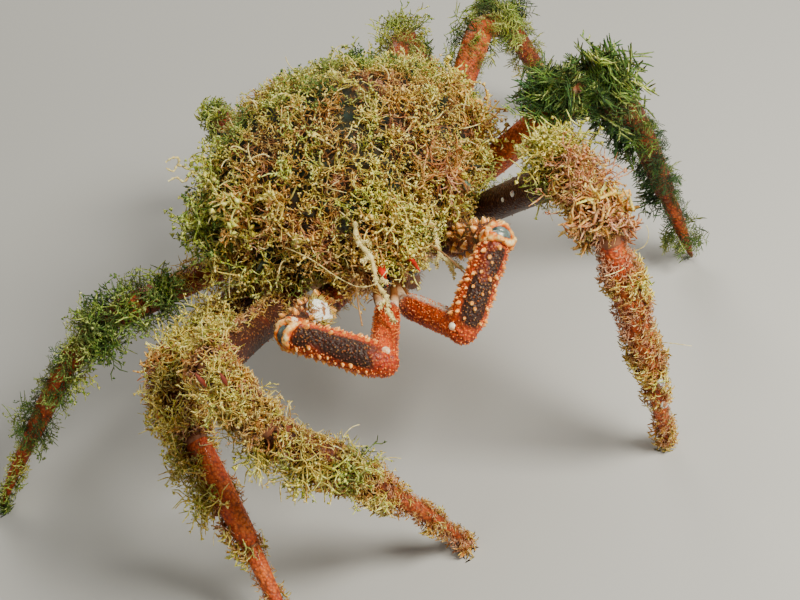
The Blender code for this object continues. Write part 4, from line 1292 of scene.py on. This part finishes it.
for number, (leg, index, low, high, count, size, shapes, hue, way) in enumerate(BUSHES):
    tube, way, spots = legs[leg][index], Vector(way).normalized(), []
    for _ in range(count):
        height = chance.uniform(low, high)
        turn = tube.facing(way) + chance.triangular(-MOST_TURN, MOST_TURN, 0)
        root, out = tube.spot(height, turn, TUFT_SUNK * MM)
        if shapes is brush and count > 60 and noise.noise(root / MM * 0.15) < -0.08:
            continue
        lean = loose()
        spots.append((root, out * 0.8 + way * 0.5 + lean * 0.4, lean,
                      size * chance.uniform(0.5, 1.15) * MM, held(hue + chance.gauss(0, 0.06)),
                      tube_patch(index, height, turn)))
    scatter(f"bush_{number + 1}", shapes, spots, turf_finish)

# Two thick pale stems with short twigs hang from the front of the shell, and a thin beaded thread
# swings across to the longer one from the shell's right. They are horny tubes of the hydroids, and
# small nubs make the stems rough.
STEMS = ((((-7, -54, 18), (-9.2, -63, 16), (-7.6, -70, 12), (-9.6, -79, 7), (-9.2, -86, 3),
           (-10.8, -90, 1), (-10.4, -94, -1)), 0.95),
         (((17, -53, 8), (19, -57, 5), (17.8, -61, 0.5), (17.2, -64, -4), (18.8, -67, -7.5),
           (18.2, -70, -11)), 0.9))
STEM_TWIGS = ((((-7.6, -70, 12), (-9.8, -71, 13), (-11, -72.5, 13)), 0.5),
              (((-9.6, -79, 7), (-7.6, -81, 8), (-6.9, -82.5, 7.5)), 0.45),
              (((-9.2, -63, 16), (-6.8, -65, 16), (-5.8, -67, 15)), 0.5),
              (((-9.2, -86, 3), (-11.5, -87, 3.5), (-12.4, -88.5, 3)), 0.45),
              (((17.2, -64, -4), (14.8, -65.5, -4.5), (13.8, -67, -6.5)), 0.5),
              (((18.8, -67, -7.5), (21, -68.5, -8), (22, -69, -10)), 0.45))
THREAD = ((-35, -39, 14), (-32, -50, 16.5), (-28.7, -55, 15), (-26, -60, 13.4), (-24, -65, 12.2),
          (-20.2, -72, 9.2), (-15.9, -78, 7.6), (-10.1, -80, 7.4), (-3.5, -76, 8.4))
PALE_TINT = ((0.0, (0.36, 0.24, 0.07)), (0.42, (0.58, 0.48, 0.16)), (0.60, (0.80, 0.71, 0.33)),
             (1.0, (0.85, 0.80, 0.52)))
THREAD_THICK, TANGLE_THICK, NUBS_AT_KNOT = 0.22, 0.55, 3
pale_finish = finish("pale stem", 0.55, Subsurface_Weight=0.1, Subsurface_Scale=0.001)
roughs = pattern(pale_finish, "Noise", 500, Detail=3)
dress(pale_finish, Base_Color=ramp(pale_finish, roughs, PALE_TINT),
      Normal=raised(pale_finish, roughs, 0.6, 0.0005))


def wavy(places, thick, beads=0.25, steps=6):
    """Knots along a smooth line through places, swelling and narrowing like a beaded stem."""
    knots = []
    for index in range((len(places) - 1) * steps + 1):
        part = min(index // steps, len(places) - 2)
        share = index / steps - part
        before, after = places[max(part - 1, 0)], places[min(part + 2, len(places) - 1)]
        low, high = places[part], places[part + 1]
        slope_low, slope_high = (high - before) / 2, (after - low) / 2
        one, two = share * share, share ** 3
        place = (low * (2 * two - 3 * one + 1) + slope_low * (two - 2 * one + share)
                 + high * (3 * one - 2 * two) + slope_high * (two - one))
        knots.append((place, thick * (1 + beads * math.sin(index * 2.2))
                      * (1 - 0.35 * index / ((len(places) - 1) * steps))))
    return knots


def pale(name, lines, slot="grown_shell", sides=8, patches=()):
    """Stems or threads of the pale horny finish, as one piece, each with its own texture patch."""
    piece = strands(name, lines, sides=sides)
    knots = [(place, patch, step / len(line)) for line, patch in zip(lines, patches)
             for step, (place, _) in enumerate(line)]
    if knots:
        tree = KDTree(len(knots))
        for index, (place, _, _) in enumerate(knots):
            tree.insert(place, index)
        tree.balance()
        layer = piece.data.uv_layers.new(name="OFBake")
        for spot, loop in zip(layer.data, piece.data.loops):
            corner = piece.data.vertices[loop.vertex_index].co
            near, index, _ = tree.find(corner)
            across, along = knots[index][1]
            spot.uv = (across + 0.0015 * (1 + (corner - near).normalized().x),
                       along + 0.003 * knots[index][2])
    worn(piece, slot, pale_finish, angle=70)


nub = [as_shape(strands("nub", [[(Vector((lean * step * step, 0, step * 0.5)), wide)
                                  for step, wide in enumerate((0.34, 0.30, 0.40))]], sides=4))
       for lean in (0.05, 0.15, 0.25)]
pale("front_stems", [wavy([in_crab(place) for place in places], thick * MM, 0.4)
                     for places, thick in STEMS + STEM_TWIGS], sides=10)
pale("front_thread", [wavy([in_crab(place) for place in THREAD], THREAD_THICK * MM, 0.4)])
spots = []
for places, thick in STEMS + STEM_TWIGS:
    for knot, _ in wavy([in_crab(place) for place in places], thick * MM, steps=12):
        for _ in range(NUBS_AT_KNOT):
            out = loose().normalized()
            spots.append((knot + out * 0.6 * thick * MM, out, Vector((0, 0, -1)),
                          chance.uniform(0.35, 0.95) * MM, 0.0, (chance.random(), chance.random())))
scatter("front_stem_nubs", nub, spots, pale_finish)

# Longer pale strands of the same horny stuff stand out of the turf all over the shell and of the
# growth on the front legs, beaded and curled, and one knobby tangle sticks out at the right rim.
WISPS, LEG_WISPS = 150, {1: 4, 2: 7, 3: 8}
WISP_LIFT = {(1, "left"): 9, (1, "right"): 8, (2, "right"): 7}
TANGLE = (((-50, 4, 30), (-54.1, 10, 33.2), (-57.4, 10, 37), (-60, 9, 36), (-62, 10, 38)),
          ((-54, 8, 33), (-58, 7, 31), (-60, 9, 33), (-63.5, 9, 33)),
          ((-57.4, 10, 37), (-56, 9, 40), (-58, 8, 42), (-61, 9, 41)))
wisp_lines, wisp_patches = [], []
for step in range(WISPS):
    point = (dome_point(step * 29 % WISPS, WISPS, 0.0) + loose(0.08)).normalized()
    place = shell_spot(point, 4.0)
    way = (place.normalized() + loose(0.8)).normalized()
    bend = way.cross(loose()).normalized()
    reach = turf_size(place, point) * chance.uniform(0.16, 0.28)
    places = [place]
    for _ in range(4):
        places.append(places[-1] + way * reach)
        way = (way + bend * chance.uniform(0.1, 0.8)).normalized()
    wisp_lines.append(wavy([STANCE @ (spot * MM) for spot in places],
                           chance.uniform(0.20, 0.32) * MM, 0.4, steps=3))
    wisp_patches.append(dome_patch(point))
for places in TANGLE:
    wisp_lines.append(wavy([in_crab(place) for place in places], TANGLE_THICK * MM, 0.5,
                           steps=5))
    wisp_patches.append(dome_patch(Vector(places[0]).normalized()))
pale("shell_wisps", wisp_lines, sides=5, patches=wisp_patches)

knee_lines, knee_patches = [], []
for leg, lift in WISP_LIFT.items():
    for index, number in LEG_WISPS.items():
        tube = legs[leg][index]
        for _ in range(number):
            height = chance.uniform(0.75, 1.0) if index == 1 else chance.random()
            turn = chance.uniform(-3, 3)
            root, out = tube.spot(height, turn)
            way = (out + loose(0.7)).normalized()
            bend = way.cross(loose()).normalized()
            places = [root + out * 2 * MM]
            for _ in range(4):
                places.append(places[-1] + way * lift * chance.uniform(0.22, 0.4) * MM)
                way = (way + bend * chance.uniform(0.5, 1.4)).normalized()
            knee_lines.append(wavy(places, chance.uniform(0.14, 0.22) * MM, 0.4, steps=4))
            knee_patches.append(tube_patch(index, height, turn))
pale("leg_wisps", knee_lines, slot="leg_shell", sides=5, patches=knee_patches)

# Soft lumps sit in the growth: an olive, a yellow and a grey-green sponge on the front of the
# shell, a white crust on the right upper claw arm, and pale specks on the left front leg.
LUMP_TINTS = ((0.0, (0.30, 0.27, 0.030)), (0.25, (0.66, 0.58, 0.07)), (0.5, (0.12, 0.20, 0.15)),
              (0.75, (0.55, 0.62, 0.66)), (1.0, (0.86, 0.84, 0.78)))
# Lumps on the shell: place, way out, half sizes and tint. Of the crust: how far along the arm and
# half sizes. Specks: length of the leg, height on it, angle aside, size and tint.
SHELL_LUMPS = (((-29, -48, 17.5), (-.5, -.7, .5), (2.1, 2.8, 2.0), 0.0),
               ((38.5, -42.5, 11), (.6, -.7, .3), (1.2, 2.8, 1.2), 0.25),
               ((38, -44, 6), (.6, -.7, .2), (1.6, 2.2, 1.4), 0.5))
CRUST_LUMPS = ((0, (4.2, 6.0, 3.2)), (5, (3.4, 3.2, 2.6)), (-5, (2.8, 3.0, 2.2)))
SPECKS = ((1, .42, 0, 0.7, 1), (1, .54, .1, 0.9, 1), (2, .05, 0, 1.1, 1), (4, .05, .2, 1.5, .75),
          (4, .30, .1, 1.2, 1))
lump_finish = finish("soft lump", 0.35, Subsurface_Weight=0.2, Subsurface_Scale=0.003)
mottle(lump_finish, pattern(lump_finish, "Noise", 420, Detail=3),
       ramp(lump_finish, painted(lump_finish, "hue"), LUMP_TINTS), (0.30, 0.14, 0.06, 1),
       (0.53, 0.59), (0.5, 0.0006))


def lump(place, out, half, hue):
    """A knobbly lump lying on the skin, its half sizes in millimetres."""
    begin()
    bpy.ops.mesh.primitive_ico_sphere_add(subdivisions=4, radius=1)
    made = named("lump")
    turn = out.to_track_quat("Z", "Y").to_matrix().to_4x4()
    seed = Vector((hue * 9, half[0], 0))
    for corner in made.data.vertices:
        corner.co *= (1 + 0.22 * noise.noise(corner.co * 2.6 + seed)
                      + 0.12 * noise.noise(corner.co * 7.0 + seed))
    size = Matrix.Diagonal([part * MM for part in half] + [1])
    made.data.transform(Matrix.Translation(place) @ turn @ size)
    tinted(made, "hue", [hue] * len(made.data.vertices))
    return made


crust = claws["right"][1]
crust_place, crust_out = crust.spot(0.62, crust.facing(Vector((0.25, -0.75, 0.6))), -0.6 * MM)
worn(join("shell_lumps", [lump(in_crab(place), Vector(out), half, hue)
                          for place, out, half, hue in SHELL_LUMPS]), "grown_shell", lump_finish)
worn(join("claw_crust", [lump(crust_place + crust.axis * along * MM, crust_out, half, 1.0)
                         for along, half in CRUST_LUMPS]), "claw_shell", lump_finish)
front, specks = legs[1, "left"], []
for index, height, aside, size, hue in SPECKS:
    root, out = front[index].spot(height, front[index].facing(BAND_FACING) + aside)
    lift = out * (0.2 if index == 1 else 2.6) * MM
    specks.append(lump(root + lift, out, (size, size * 1.3, size * 0.8), hue))
worn(join("leg_specks", specks), "leg_shell", lump_finish)

# Short stiff hairs stand on both upper claw arms over a thin low brush, and fringe the white
# crust. They are bristles of the same horny stuff as the turf.
CRUST_HAIRS = 170
bristle = [as_shape(strands("bristle", [[(Vector((0.02 * step * step * lean, 0, step / 4)),
                                          0.055 * (1.1 - step / 4)) for step in range(5)]]))
           for lean in (0.3, 1.0, 2.0)]
# Growth of the claw arms: length, kind, number and height in millimetres.
ARM_GROWTH = ((0, brush, 40, 4.0), (1, brush, 45, 2.8), (1, bristle, 170, 3.2))
for side, tubes in claws.items():
    for index, shapes, number, tall in ARM_GROWTH:
        spots = []
        for _ in range(number):
            height, turn = 0.05 + 0.9 * chance.random(), chance.uniform(-math.pi, math.pi)
            root, out = tubes[index].spot(height, turn, 0.3 * MM)
            lean = loose()
            spots.append((root, out + lean * 0.5, lean, tall * chance.uniform(0.6, 1.2) * MM,
                          chance.uniform(0.55, 0.85), tube_patch(index, height, turn)))
        scatter(f"claw_{side}_growth_{index + 1}{'b' if shapes is bristle else ''}", shapes, spots,
                turf_finish)
spots, across = [], crust_out.cross(crust.axis).normalized()
wide, long, _ = CRUST_LUMPS[0][1]
for step in range(CRUST_HAIRS):
    turn = step * GOLDEN_TURN
    edge = Vector((math.cos(turn), math.sin(turn), 0)) * chance.uniform(0.7, 1.1)
    root = crust_place + (across * edge.x * wide + crust.axis * (edge.y * long + 1.5)) * MM
    way = across * edge.x + crust.axis * edge.y + crust_out * 0.5
    spots.append((root, way, crust_out, chance.uniform(2.5, 4.5) * MM, 0.5,
                  (0.3 + 0.01 * edge.x, 0.3 + 0.01 * edge.y)))
scatter("claw_crust_hairs", bristle, spots, turf_finish)

# Two small dark red blades of weed grow at the right front knee. Each is a soft upright strand
# that swells in its middle and narrows to both ends.
BLADES, BLADE_WIDTHS = ((0.42, -0.35, 7), (0.62, 0.1, 6)), (0.3, 0.7, 1.0, 0.9, 0.6, 0.2)
blade_finish = finish("red weed", 0.55)
mottle(blade_finish, pattern(blade_finish, "Noise", 400, Detail=2), (0.24, 0.03, 0.012, 1),
       (0.10, 0.015, 0.008, 1))
tube, blades = legs[1, "right"][2], []
for height, aside, tall in BLADES:
    root, out = tube.spot(height, tube.facing(BAND_FACING) + aside)
    way = (out * 0.3 + Vector((0.1 * aside, 0.2, 1))).normalized() * MM
    blades.append([(root + out * 6.5 * MM + way * tall * step / 5 + out * 0.3 * MM * (step % 2),
                    wide * MM) for step, wide in enumerate(BLADE_WIDTHS)])
worn(strands("knee_blades", blades, sides=8), "leg_shell", blade_finish)

# A fringe of stiff bristles grows along the inner edges of the two jaw feet, and finer ones stand
# all over both plates. They are the same horny bristles as on the claw arms.
FRINGE_HAIRS, FRINGE_HEIGHT, PLATE_HAIRS = 90, 13, 130
spots = []
for way in SIDES.values():
    for step in range(FRINGE_HAIRS):
        height = (step / FRINGE_HAIRS - 0.5) * FRINGE_HEIGHT
        root = in_crab((way * (1.2 + 0.4 * chance.random()), -45.3 + 0.02 * height * height,
                        JAW_MIDDLE[2] + height))
        lean = Vector((-way * 0.5, -1, chance.uniform(-0.4, 0.1)))
        spots.append((root, lean, Vector((0, 0, -1)), chance.uniform(2.0, 3.4) * MM, 0.6,
                      (0.5 + way * 0.2, step / 100)))
    for step in range(PLATE_HAIRS):
        point = dome_point(step, PLATE_HAIRS, -1.0)
        place = mirrored(JAW_MIDDLE, way) + point * Vector(JAW_HALF)
        root, lean = in_crab(place), loose()
        spots.append((root, point + lean * 0.4, Vector((0, 0, -1)), chance.uniform(1.6, 3.0) * MM,
                      chance.uniform(0.6, 0.8), (0.5 + way * 0.2, step / 140)))
scatter("jaw_bristles", bristle, spots, turf_finish)
